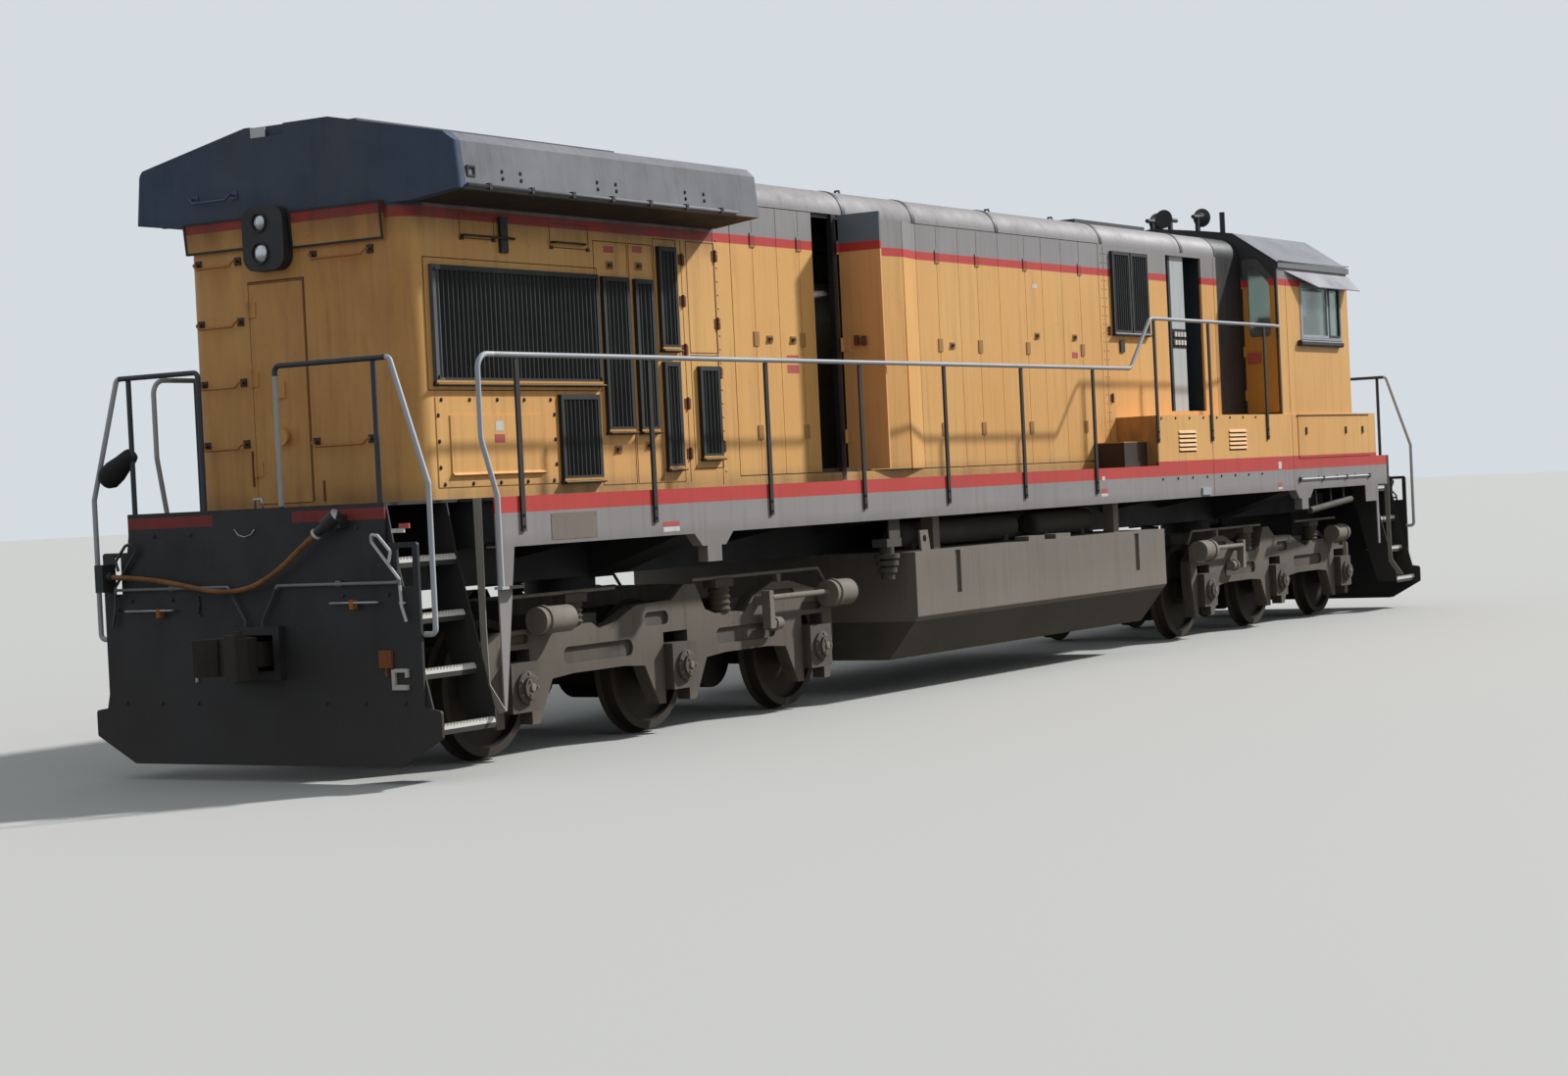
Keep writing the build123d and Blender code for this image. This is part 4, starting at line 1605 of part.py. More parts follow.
def build_all():
    save("underframe", *underframe())
    save("side_sills", *both_sides(side_sill()))
    save("pilot_front", *pilot())
    save("pilot_rear", *turned(pilot()))
    stairs = both_sides(steps())
    save("steps_front", *stairs)
    save("steps_rear", *turned(stairs))
    rail = side_handrail()
    save("handrail_left", *rail)
    save("handrail_right", *right_side(rail))
    rails = end_handrails()
    levers = both_sides(uncoupling_lever())
    save("handrail_rear", *rails, *grab_irons(), *turned(levers))
    save("handrail_front", *turned(rails), *levers)
    save("fuel_tank", *fuel_tank())
    save("underfloor_gear", *underfloor_gear())
    save("radiator_hood", *radiator_hood())
    save("radiator_grilles", *grilles(SIDE_GRILLES))
    save("radiator_wings", *radiator_wings())
    save("engine_hood_frame", *engine_hood_frame())
    save("engine_hood_roof", *hood_roof(RADIATOR_FRONT_X, ENGINE_FRONT_X))
    save("hood_doors_left", *hood_doors(1))
    save("hood_doors_right", *hood_doors(-1))
    save("engine_door_leaf", open_leaf())
    save("hood_trim", *hood_trim())
    save("engine_block", *engine_block())
    save("roof_fittings", *roof_fittings())
    save("equipment_hood", *equipment_hood())
    save("brake_grilles", *grilles(BRAKE_GRILLES))
    save("electrical_cabinet", *cabinet())
    save("raised_boxes", *both_sides(raised_box()))
    save("cab_base", *cab_base())
    save("cab_walls", *cab_walls())
    save("cab_roof", *cab_roof())
    save("cab_glass", *cab_glass())
    save("cab_interior", *cab_interior())
    for end, name in ((-1, "cab_door_rear"), (1, "cab_door_front")):
        leaf, pane = cab_door(end)
        save(name, leaf)
        save(name + "_glass", pane)
    save("short_hood", *short_hood())
    save("end_door", end_door())
    save("lamps_rear", *lamps(REAR_HOUSING, REAR_LAMPS, REAR_LAMP_Y, END_WALL_X, -1))
    save("lamps_front", *lamps(FRONT_HOUSING, FRONT_LAMPS, 0, CAB_FRONT_X, 1))
    save("coupler_front", *coupler())
    save("coupler_rear", *turned(coupler()))
    save("jumper_cable", jumper_cable())
    save("jumper_sockets", *jumper_sockets())
    for index, way in enumerate((-1, 1)):
        name = ("rear", "front")[index]
        place = Pos(way * TRUCK_CENTRE_X, 0, 0)
        if way > 0:
            place = place * Rot(0, 0, 180)
        for piece, shapes in (("truck_frame", truck_frame()), ("axle_boxes", axle_boxes()),
                              ("truck_springs", truck_springs()), ("traction_motors", traction_motors()),
                              ("truck_brakes", truck_brakes())):
            save(f"{piece}_{name}", *[place * shape for shape in shapes])
        for axle in range(3):
            set_place = place * Pos(-way * (axle - 1) * AXLE_PITCH, 0, 0)
            save(f"wheelset_{index * 3 + axle + 1}", *[set_place * shape for shape in wheelset()])


build_all()
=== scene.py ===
import math
import bmesh
import bpy
from mathutils import Matrix, Vector


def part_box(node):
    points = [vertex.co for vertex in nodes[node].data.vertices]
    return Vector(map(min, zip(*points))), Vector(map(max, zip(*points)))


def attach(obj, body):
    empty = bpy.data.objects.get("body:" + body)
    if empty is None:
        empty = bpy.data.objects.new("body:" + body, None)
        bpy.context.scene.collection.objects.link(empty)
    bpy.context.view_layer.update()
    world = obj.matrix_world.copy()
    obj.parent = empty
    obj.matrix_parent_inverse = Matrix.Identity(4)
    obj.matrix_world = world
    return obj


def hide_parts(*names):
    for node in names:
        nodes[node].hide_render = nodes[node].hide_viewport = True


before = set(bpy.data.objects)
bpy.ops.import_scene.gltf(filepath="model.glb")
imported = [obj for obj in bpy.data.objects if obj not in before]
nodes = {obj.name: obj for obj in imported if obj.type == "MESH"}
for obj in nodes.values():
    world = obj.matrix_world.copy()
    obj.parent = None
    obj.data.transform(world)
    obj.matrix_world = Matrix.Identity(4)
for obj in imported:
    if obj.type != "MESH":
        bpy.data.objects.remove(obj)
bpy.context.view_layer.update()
print("frame loaded:", len(nodes), "nodes")


def addObject(name, data):
    made = bpy.data.objects.new(name, data)
    bpy.context.scene.collection.objects.link(made)
    return made


# The camera stands low beyond the rear right corner, as in the photograph.
cameraView = {
    "place": (-24.534, -13.584, 1.916), "yaw": 1.013, "pitch": -0.019, "roll": -0.048, "lens": 64.5,
    "sensor": 36, "reach": 1000}


def makeCamera():
    yaw, pitch, roll = cameraView["yaw"], cameraView["pitch"], cameraView["roll"]
    forward = Vector((math.sin(yaw) * math.cos(pitch), math.cos(yaw) * math.cos(pitch), math.sin(pitch)))
    level = Vector((math.cos(yaw), -math.sin(yaw), 0))
    upright = level.cross(forward)
    right = level * math.cos(roll) + upright * math.sin(roll)
    up = upright * math.cos(roll) - level * math.sin(roll)
    data = bpy.data.cameras.new("camera")
    data.lens = cameraView["lens"]
    data.sensor_width = cameraView["sensor"]
    data.clip_end = cameraView["reach"]
    camera = addObject("camera", data)
    turn = Matrix((right, up, -forward)).transposed().to_4x4()
    camera.matrix_world = Matrix.Translation(cameraView["place"]) @ turn
    bpy.context.scene.camera = camera


makeCamera()
print("camera set")


def linear(hexColour):
    # sRGB hex to the linear values that sockets take
    parts = [int(hexColour[i:i + 2], 16) / 255 for i in (1, 3, 5)]
    return tuple(p / 12.92 if p <= 0.04045 else ((p + 0.055) / 1.055) ** 2.4 for p in parts) + (1,)


def addNode(tree, kind, inputs=(), output=0, **settings):
    # inputs, by number or by name, take a value or another node's output; one output comes back
    node = tree.nodes.new("ShaderNode" + kind)
    for name, value in settings.items():
        setattr(node, name, value)
    for name, value in inputs.items() if isinstance(inputs, dict) else enumerate(inputs):
        if isinstance(value, bpy.types.NodeSocket):
            tree.links.new(value, node.inputs[name])
        else:
            node.inputs[name].default_value = value
    return node.outputs[output] if node.outputs else None


def newMaterial(name):
    material = bpy.data.materials.new(name)
    material.use_nodes = True
    tree = material.node_tree
    tree.nodes.clear()
    surface = addNode(tree, "BsdfPrincipled")
    addNode(tree, "OutputMaterial", {"Surface": surface})
    return material, tree, surface.node


def patches(tree, where, grain, stretch=(1, 1, 1), detail=3.0, rough=0.55):
    # cloudy patches, grain the real size in millimetres of one
    scaled = addNode(tree, "VectorMath", (where, stretch), operation="MULTIPLY")
    inputs = {"Vector": scaled, "Scale": 1000 / grain, "Detail": detail, "Roughness": rough}
    return addNode(tree, "TexNoise", inputs)


def zone(tree, axes, limits, soft=0.003):
    # 1 inside the named limits in metres, with an edge as soft as masked paint or as blown dirt
    share = None
    for axis, (low, high) in limits.items():
        rise = addNode(tree, "MapRange", (axes[axis], low - soft, low + soft))
        fall = addNode(tree, "MapRange", (axes[axis], high - soft, high + soft, 1.0, 0.0))
        inside = addNode(tree, "Math", (rise, fall), operation="MULTIPLY")
        share = inside if share is None else addNode(tree, "Math", (share, inside), operation="MULTIPLY")
    return share


# Weathering, the same on every painted and cast surface. columns of noise: real size in millimetres of one
# patch, stretch along x, y and z, detail, roughness. columns of spread: the noise's values where patches
# start to show and where they are full, then what they count at these two, if that isn't 0 and 1.
weather = {
    "noise": {
        "fade": (1800, (1, 1, 1), 3.0, 0.55), "film": (420, (1, 1, 1), 5.0, 0.65),
        "streak": (70, (1, 1, 0.05), 4.0, 0.6), "soot": (260, (1, 1, 0.3), 5.0, 0.6),
        "chip": (40, (1, 1, 1), 6.0, 0.7), "wave": (700, (1, 1, 1), 2.0, 0.55),
        "pit": (9, (1, 1, 1), 2.0, 0.55)},
    "spread": {
        "fade": (0.3, 0.7), "streak": (0.5, 0.78), "film": (0.3, 0.7, 0.2, 1.0),
        "soot": (0.3, 0.7, 0.35, 1.0), "dust": (0.25, 0.75, 0.25, 1.0), "chip": (0.63, 0.69),
        "rust": (0.45, 0.7), "worn": (0.3, 0.75)},
    "dustFoot": 0.2, "rustGain": 3, "wornRough": 0.25, "dustRough": 0.3, "waveDepth": 0.02,
    "pitStrength": 0.12, "pitDepth": 0.001}


def weathered(name, base, paint=(), stains=(), dust="#8d8171", dustTop=2.2, dustDepth=0.25, grime="#3a3128",
              streaks=0.35, rust=0.25, rustColour="#5d3a24", roughness=0.45, metallic=0.0, wave=0.25,
              fade=0.3):
    # paint rows are (limits, colour), what was masked and sprayed over the base coat;
    # stains are (limits, softness, colour, strength), soot and dirt blown over it
    material, tree, shader = newMaterial(name)
    where = addNode(tree, "TexCoord", output="Object")
    noise, spread = weather["noise"], weather["spread"]
    times, blend = {"operation": "MULTIPLY"}, {"data_type": "RGBA", "output": 2}
    # axes are x, y and z in metres, and side, the distance from the middle line
    axes = dict(zip("xyz", addNode(tree, "SeparateXYZ", (where,)).node.outputs))
    axes["side"] = addNode(tree, "Math", (axes["y"],), operation="ABSOLUTE")
    colour = linear(base)
    for limits, paintColour in paint:
        share = zone(tree, axes, limits)
        colour = addNode(tree, "Mix", {0: share, 6: colour, 7: linear(paintColour)}, **blend)
    # Sun and rain bleach the coat in patches, a dark coat less than a bright one
    faded = addNode(tree, "MapRange", (patches(tree, where, *noise["fade"]), *spread["fade"], 0.0, fade))
    bleached = addNode(tree, "Mix", {0: 1.0, 6: colour, 7: colour}, blend_type="SCREEN", **blend)
    colour = addNode(tree, "Mix", {0: faded, 6: colour, 7: bleached}, **blend)
    # Dirt washed down in streaks, more where a film of it lies
    film = patches(tree, where, *noise["film"])
    runs = addNode(tree, "MapRange", (patches(tree, where, *noise["streak"]), *spread["streak"]))
    held = addNode(tree, "MapRange", (film, *spread["film"]))
    share = addNode(tree, "Math", (addNode(tree, "Math", (runs, held), **times), streaks), **times)
    colour = addNode(tree, "Mix", {0: share, 6: colour, 7: linear(grime)}, **blend)
    for limits, soft, stainColour, strength in stains:
        cloud = addNode(tree, "MapRange", (patches(tree, where, *noise["soot"]), *spread["soot"]))
        share = addNode(tree, "Math", (zone(tree, axes, limits, soft), cloud), **times)
        share = addNode(tree, "Math", (share, strength), **times)
        colour = addNode(tree, "Mix", {0: share, 6: colour, 7: linear(stainColour)}, **blend)
    # Road dust thrown up from the track, thickest near the ground
    low = addNode(tree, "MapRange", (axes["z"], weather["dustFoot"], dustTop, 1.0, 0.0))
    settled = addNode(tree, "MapRange", (film, *spread["dust"]))
    dusty = addNode(tree, "Math", (addNode(tree, "Math", (low, settled), **times), dustDepth), **times)
    colour = addNode(tree, "Mix", {0: dusty, 6: colour, 7: linear(dust)}, **blend)
    # Rust where chips went through the paint
    chips = addNode(tree, "MapRange", (patches(tree, where, *noise["chip"]), *spread["chip"]))
    rusty = addNode(tree, "MapRange", (film, *spread["rust"], 0.0, rust * weather["rustGain"]))
    rusty = addNode(tree, "Math", (chips, rusty), **times)
    colour = addNode(tree, "Mix", {0: rusty, 6: colour, 7: linear(rustColour)}, **blend)
    tree.links.new(colour, shader.inputs["Base Color"])
    matt = min(1.0, roughness + weather["wornRough"])
    worn = addNode(tree, "MapRange", (film, *spread["worn"], roughness, matt))
    dull = addNode(tree, "Math", (dusty, weather["dustRough"]), **times)
    tree.links.new(addNode(tree, "Math", (worn, dull), operation="ADD"), shader.inputs["Roughness"])
    shader.inputs["Metallic"].default_value = metallic
    # The sheet's slow waves, and fine pits on them
    sheet = patches(tree, where, *noise["wave"])
    sheet = addNode(tree, "Bump", {"Strength": wave, "Distance": weather["waveDepth"], "Height": sheet})
    pits = {"Strength": weather["pitStrength"], "Distance": weather["pitDepth"],
            "Height": patches(tree, where, *noise["pit"]), "Normal": sheet}
    fine = addNode(tree, "Bump", pits)
    tree.links.new(fine, shader.inputs["Normal"])
    return material


coats = {
    "yellow": "#e8ab60", "red": "#c2332b", "grey": "#8f8a8a", "blueGrey": "#3b4b62", "black": "#1a1b20",
    "dullRed": "#7d2824", "silver": "#b9bec4", "post": "#17130f", "innerShadeBlack": "#1b191b", "cabShadeBlack": "#24262a"}
# Heights in metres where the masked stripes start and stop; top is above everything
stripe = {"low": 3.918, "high": 3.993, "skirtLow": 1.810, "skirtHigh": 1.930, "top": 9.0}
# The rear wall of the long hood; only the blank number boards stand out beyond boardFace
rear = {"wall": -9.232, "boardFace": -9.2345, "boardTop": 4.033, "boardRed": 3.950}
middle = -1.0  # side starts at 0, so limits from here take in the middle line

topPaint = {"z": (stripe["low"], stripe["top"])}
linePaint = ({"z": (stripe["low"], stripe["high"])}, coats["red"])
hoodPaint = [(topPaint, coats["grey"]), linePaint]
boardX = (-9.4, rear["boardFace"])
sootAndShadeUnderWing = ({"x": (-9.4, -5.3), "z": (3.86, 4.3)}, 0.10, "#33261b", 0.75)
dirtAboveDeck = ({"z": (1.8, 2.02)}, 0.06, "#6f5433", 0.6)
rearWallBrown = ({"x": (-9.4, -9.16), "z": (1.9, 3.96)}, 0.03, "#95502a")
roofWear = {"grime": "#2b2826", "dustDepth": 0.0}
railWear = {"grime": "#4c463c", "streaks": 0.3}
slatWear = {"dust": "#4e4a40", "dustTop": 4.0, "rust": 0.1, "roughness": 0.55}

# Alkyd enamel sprayed on sheet steel: half gloss, chalked by the sun, with rain runs of brake dust.
hoodEnamel = weathered("hoodEnamel", coats["yellow"], hoodPaint, [dirtAboveDeck])
# The same where no stripe crosses it.
yellowEnamel = weathered("yellowEnamel", coats["yellow"], (), [dirtAboveDeck])
# The same on the radiator section, darkened under the wings with soot and painted shade, and brown at its
# rounded corner.
radiatorEnamel = weathered(
    "radiatorEnamel", coats["yellow"],
    hoodPaint + [
        ({"x": (-9.5, -9.05), "z": (stripe["high"], stripe["top"])}, coats["blueGrey"]),
        ({"x": boardX, "z": (3.7, rear["boardTop"])}, coats["yellow"]),
        ({"x": boardX, "z": (rear["boardRed"], rear["boardTop"])}, coats["red"])],
    [sootAndShadeUnderWing, dirtAboveDeck, rearWallBrown + (0.45,)], streaks=0.45)
# The door in the rear wall has the wall's brown tint.
endDoorEnamel = weathered("endDoorEnamel", coats["yellow"], (), [rearWallBrown + (0.5,)], streaks=0.45)
# The equipment section ends in painted shade, black like the cab's rear wall.
equipmentEnamel = weathered(
    "equipmentEnamel", coats["yellow"],
    hoodPaint + [({"x": (4.98, 5.8), "z": (2.0, stripe["top"])}, "#1d1b1b")], [dirtAboveDeck],
    dustDepth=0.2)
# The open door leaf, a copy of the hood paint tuned to its look in shade: its grey top is painted darker and
# bluer as painted shade, the red line as usual, and the yellow below is painted brighter than the hood's, as
# painted light.
leafShadeEnamel = weathered("leafShadeEnamel", "#f2ab6a", [(topPaint, "#66707a"), linePaint], dustDepth=0.2)
# The engine section: post and head of the empty doorway, and all the inner side, are painted near black as
# shade.
engineEnamel = weathered(
    "engineEnamel", coats["yellow"],
    hoodPaint + [
        ({"x": (-3.452, -3.374), "z": (1.93, 4.3)}, coats["innerShadeBlack"]),
        ({"x": (-3.79, -3.374), "z": (4.13, 4.3)}, coats["innerShadeBlack"]), ({"side": (0.0, 1.053)}, coats["innerShadeBlack"])],
    [dirtAboveDeck])
# The raised boxes: the red band runs on along their lower edge; the low box behind them is painted black and
# the step recess beside it brown, both painted shade.
boxEnamel = weathered(
    "boxEnamel", coats["yellow"],
    [
        ({"z": (1.7, 1.965), "side": (1.49, 1.6)}, coats["red"]),
        ({"x": (1.60, 2.18), "z": (1.90, 2.175)}, "#1c1511")],
    [({"x": (1.55, 2.21), "z": (1.90, 2.46)}, 0.015, "#3a1d0e", 0.8)])
# The side skirts: red band above, grey below, dusty along the lower edge.
skirtEnamel = weathered(
    "skirtEnamel", coats["grey"], [({"z": (stripe["skirtLow"], stripe["skirtHigh"])}, coats["red"])],
    [({"z": (1.3, 1.62)}, 0.05, "#5b554c", 0.5)], dustDepth=0.35)
# Grey enamel on the roofs, sooty along the exhaust; duller than the walls, since rain stands on it.
roofEnamel = weathered(
    "roofEnamel", coats["grey"], (), [({"side": (middle, 0.75)}, 0.3, "#3c3a38", 0.5)], streaks=0.45,
    roughness=0.55, wave=0.12, fade=0.15, **roofWear)
# The wide rear roof: dark blue grey end, light grey sides, and near black underneath as painted shade.
wingEnamel = weathered(
    "wingEnamel", "#737378", [({"z": (3.9, 4.066)}, "#161617"), ({"x": (-9.4, -9.135)}, coats["blueGrey"])],
    [({"side": (middle, 0.9)}, 0.4, "#4a4a4a", 0.5)], streaks=0.4, roughness=0.6, wave=0.1, fade=0.12,
    **roofWear)
# Cab roof: grey on top, its rear edge painted black as shade, like the wall below it.
cabRoofEnamel = weathered(
    "cabRoofEnamel", "#77797f", [({"x": (5.6, 5.70)}, coats["cabShadeBlack"])],
    [({"side": (middle, 0.6)}, 0.3, "#55565a", 0.4)], roughness=0.6, wave=0.1, fade=0.15, **roofWear)
# Cab walls: the wall towards the hood painted black as shade, with its lower corners painted brown as lighter
# shade; yellow sides with the stripe, light window rims, grey awnings and dark arm rests.
cabEnamel = weathered(
    "cabEnamel", coats["yellow"],
    hoodPaint + [
        ({"side": (1.502, 1.510), "z": (3.29, 3.99)}, "#9aa0a3"),
        ({"side": (1.507, 1.7), "z": (3.8, 4.12)}, "#5f6168"),
        ({"side": (1.50, 1.7), "z": (3.2, 3.31)}, "#1d1e20"),
        # painted shade: the rear wall black, and brown at its corners beside the door
        ({"x": (5.6, 5.7165), "z": (2.0, 4.8)}, coats["cabShadeBlack"]),
        ({"x": (5.6, 5.7165), "z": (2.0, 3.3), "side": (1.40, 1.6)}, "#5a3d1c")],
    dustDepth=0.1)
# The cab doors: painted shade darkens their coats, a deeper yellow with the stripe across it and dark grey
# above.
cabDoorShadeEnamel = weathered("cabDoorShadeEnamel", "#c98a38", [(topPaint, "#4a4c50"), linePaint], dustDepth=0.1)
# Black enamel on the pilots, dulled by brake dust, with a dull red band along the top.
pilotEnamel = weathered(
    "pilotEnamel", coats["black"], [({"z": (1.815, 1.893), "side": (0.37, 1.30)}, coats["dullRed"])],
    [({"side": (middle, 0.55), "z": (0.9, 1.9)}, 0.25, "#17181a", 0.6)], dust="#5f574c", dustTop=1.4,
    dustDepth=0.35, rust=0.35, roughness=0.5)
# Black enamel brushed on castings and fittings.
fittingsEnamel = weathered(
    "fittingsEnamel", "#232527", dust="#5f574c", dustDepth=0.3, rust=0.3, roughness=0.5)
# Steps: black enamel scuffed by boots, so nearly matt.
stepEnamel = weathered(
    "stepEnamel", "#1b1c1e", (), [({"z": (0.2, 1.9)}, 0.1, "#6a655d", 0.1)], dust="#6a6358", rust=0.3,
    roughness=0.6)
# Cast steel under a coat of baked road dust and oil, with painted shade, near black, on the faces inboard
# towards the wheels.
castSteel = weathered(
    "castSteel", "#645d54", (),
    [({"z": (0.2, 0.75)}, 0.15, "#2c2823", 0.6), ({"side": (middle, 1.085)}, 0.02, "#141312", 0.85)],
    grime="#2a2521", streaks=0.65, dustTop=1.6, dustDepth=0.5, rust=0.5, roughness=0.75, wave=0.5)
# What the truck frame carries, cast and rolled: oily axle boxes and springs, black motors, and brake
# cylinders pale with dust.
# The axle boxes are painted near black inboard, as painted shade.
axleSteel = weathered(
    "axleSteel", "#4a443d", (), [({"side": (middle, 1.16)}, 0.02, "#161413", 0.8)], grime="#1c1916",
    streaks=0.7, dustTop=1.6, dustDepth=0.35, rust=0.6, roughness=0.7, wave=0.5)
springSteel = weathered(
    "springSteel", "#4d473f", grime="#1c1916", streaks=0.7, dustDepth=0.3, rust=0.5, roughness=0.75)
motorSteel = weathered("motorSteel", "#1e1b19", dustDepth=0.1, rust=0.3, roughness=0.7)
brakeSteel = weathered(
    "brakeSteel", "#7d766b", grime="#2a2521", streaks=0.6, dustTop=1.6, dustDepth=0.4, rust=0.4,
    roughness=0.7)
# Cast coupler steel, left bare: brown oxide, polished nowhere.
couplerSteel = weathered(
    "couplerSteel", "#332d28", grime="#191614", streaks=0.5, dust="#5a5248", dustDepth=0.2, rust=0.6,
    roughness=0.7, wave=0.4)
# Welded tank plate, painted and dusty, with painted shade on the slope that faces the ground.
tankPlate = weathered(
    "tankPlate", "#786f66", [({"z": (0.3, 0.66)}, "#3f3a36")], [({"z": (0.9, 1.3)}, 0.1, "#5d564d", 0.3)],
    grime="#3b342c", dustTop=1.4, dustDepth=0.5, rust=0.2, roughness=0.6)
# Gear under the frame: black enamel under dust.
gearEnamel = weathered("gearEnamel", "#4b4640", dust="#6b6357", dustDepth=0.45, rust=0.3, roughness=0.7)
# Rolled wheel steel: brown oxide with a little metal in it.
wheelSteel = weathered(
    "wheelSteel", "#2f2823", grime="#161210", streaks=0.5, dustTop=1.3, dustDepth=0.15, rust=0.6,
    roughness=0.6, metallic=0.3)
# Drawn steel tube of the side rails: the top bar bare and pale, its posts brown black.
postLimits = [{"x": (-8.95, 1.5), "z": (1.0, 2.900)}, {"x": (2.12, 5.6), "z": (1.0, 3.422)}]
sideRailTube = weathered(
    "sideRailTube", "#9a9da1",
    [({"x": (-9.2, -8.94)}, coats["silver"])] + [(limits, coats["post"]) for limits in postLimits],
    grime="#6a635a", streaks=0.3, dustDepth=0.2)
# End rails: dark tube with white ends that curve down at the steps and one pale post. The uncoupling lever is
# pale at its right end and grey along its bar. The rungs on the wall are painted a shaded brown with black
# feet where they meet the wall, both painted shade, and blue grey high up.
whiteEnds = {"side": (1.25, 1.7), "z": (1.0, 2.96)}
endRailTube = weathered(
    "endRailTube", "#2f343b",
    [
        ({"x": (-9.79, -9.6), **whiteEnds}, coats["silver"]),
        ({"x": (-9.79, -9.7), "y": (-0.29, -0.2), "z": (1.93, 2.84)}, "#a9aca6"),
        ({"x": (-9.95, -9.80), "y": (-1.42, -1.05)}, "#d3d5d4"),
        ({"x": (-9.95, -9.80), "z": (1.36, 1.402)}, "#7d8082"),
        ({"x": (-9.50, -9.22), "z": (1.9, 3.9)}, "#a96c38"),
        ({"x": (-9.262, -9.22), "z": (1.9, 3.9)}, "#2c1e14"),
        ({"x": (-9.50, -9.22), "z": (3.9, 4.6)}, coats["blueGrey"])],
    **railWear)
frontRailTube = weathered("frontRailTube", "#2f343b", [({"x": (9.6, 9.79), **whiteEnds}, coats["silver"])],
                      **railWear)
# Louvres: black slats behind a yellow lip, a plain grey plate along the rear of the large one.
# columns of ledges: x rear, x front, z of the lip
ledges = (
    (-9.03, -7.0, 2.750), (-7.57, -7.05, 2.023), (-6.96, -6.59, 2.385), (-6.52, -6.26, 2.383),
    (-6.18, -5.92, 3.030), (-6.17, -5.94, 2.086), (-5.67, -5.36, 2.160))
slatEnamel = weathered("slatEnamel", "#1b1e1e",
                      [({"x": (-9.03, -8.925), "z": (2.76, 3.58)}, "#54575b")]
                      + [({"x": (x0, x1), "side": (1.088, 1.2), "z": (z - 0.01, z + 0.016)}, "#c9974e")
                         for x0, x1, z in ledges], **slatWear)
brakeSlatEnamel = weathered("brakeSlatEnamel", "#1b1d1e", dustDepth=0.2, **slatWear)
# The open electrical cabinet: dark boards behind one pale panel.
cabinetEnamel = weathered(
    "cabinetEnamel", "#1e2a33", [({"x": (3.80, 4.16), "side": (0.985, 1.04)}, "#b9bfbe")], grime="#4c463c",
    dustDepth=0.05, rust=0.1)
# Trim of the hood: yellow brown hinge straps, dark latches that stand further out, and joint strips on the
# roof that are black with soot.
trimEnamel = weathered(
    "trimEnamel", "#cf9652",
    hoodPaint + [
        ({"side": (1.0705, 1.2), "z": (1.9, 4.0)}, "#2b1d12"), ({"z": (4.05, stripe["top"])}, "#38383b")],
    dustDepth=0.1, rust=0.5)
# Stack, horns and hooks: black enamel, greyer towards the rear.
stackEnamel = weathered(
    "stackEnamel", "#1f2022", [({"x": (-9.0, 1.8)}, "#55565a"), ({"x": (2.0, 4.2)}, "#3f4043")],
    dustDepth=0.0, grime="#0f0f10", rust=0.3, roughness=0.5)
# Machinery enamel inside the hood, near black with oil, and the cab's seat vinyl and console paint.
machineEnamel = weathered("machineEnamel", "#252a24", grime="#1c1a17", streaks=0.6, dustDepth=0.0, rust=0.2)
seatVinyl = weathered("seatVinyl", "#4b574a", dustDepth=0.0, rust=0.0)
# White enamel of small fittings, yellowed and rusty at the edges.
whiteEnamel = weathered(
    "whiteEnamel", "#d6d4cc", grime="#5b5348", streaks=0.4, dustDepth=0.35, rust=0.35, roughness=0.55)
# White nosings, a brighter white than the other white fittings: painted light, so that they stay bright in
# shade.
nosingEnamel = weathered(
    "nosingEnamel", "#e9e5da", grime="#5b5348", streaks=0.2, dustDepth=0.1, rust=0.1, roughness=0.55)
# Red enamel of the blank notices and the clip, sprayed through a mask.
redEnamel = weathered("redEnamel", "#b9504c", dustDepth=0.15, rust=0.15)
# Dirt and rust that settle in the seams between the panels.
seamRust = weathered("seamRust", "#6b3f22", dustDepth=0.1, rust=0.5, roughness=0.7)
# Amber clips on the grab irons, brown with rust.
amberRust = weathered("amberRust", "#a8682a", grime="#3a2014", streaks=0.4, dustDepth=0.1, rust=0.6,
                      roughness=0.8)
# Hot rolled steel, rusted through its paint.
rustSteel = weathered("rustSteel", "#8a4a26", grime="#3a2014", streaks=0.5, dustDepth=0.2, rust=0.6,
                      roughness=0.85)
# Extruded aluminium, dulled by washing.
aluminium = weathered(
    "aluminium", "#a9adb0", grime="#5b5348", streaks=0.3, dustDepth=0.1, rust=0.0, roughness=0.4,
    metallic=0.6)
# Pale enamel on the edge plates of the steps, worn by boots.
stepPlateEnamel = weathered(
    "stepPlateEnamel", "#948e84", grime="#3b352d", streaks=0.5, dustDepth=0.3, rust=0.4, roughness=0.6)
# Worn enamel of the plate on the skirt, painted shade in open gaps, and dark enamel of the boards' frames.
plateEnamel = weathered("plateEnamel", "#7b7068", streaks=0.3, dustDepth=0.4, rust=0.2, roughness=0.7)
gapShade = weathered("gapShade", "#17110c", dustDepth=0.1, rust=0.2, roughness=0.85)
frameEnamel = weathered("frameEnamel", "#1f252d", dustDepth=0.0, rust=0.3, roughness=0.55)
# Moulded rubber: matt and black, with dust lying on it.
bootRubber = weathered(
    "bootRubber", "#17171a", grime="#0d0d0e", dust="#4b463e", dustTop=4.0, rust=0.0, roughness=0.75,
    wave=0.5)


def addRibs(tree, shader, where, pitch, strength, depth):
    # ribs that repeat along y, pitch in millimetres, depth in metres
    wave = addNode(
        tree, "TexWave", {"Vector": where, "Scale": 1000 / pitch / 2 / math.pi, "Distortion": 0.0}, 1,
        bands_direction="Y")
    bump = addNode(tree, "Bump", {"Strength": strength, "Distance": depth, "Height": wave})
    tree.links.new(bump, shader.inputs["Normal"])


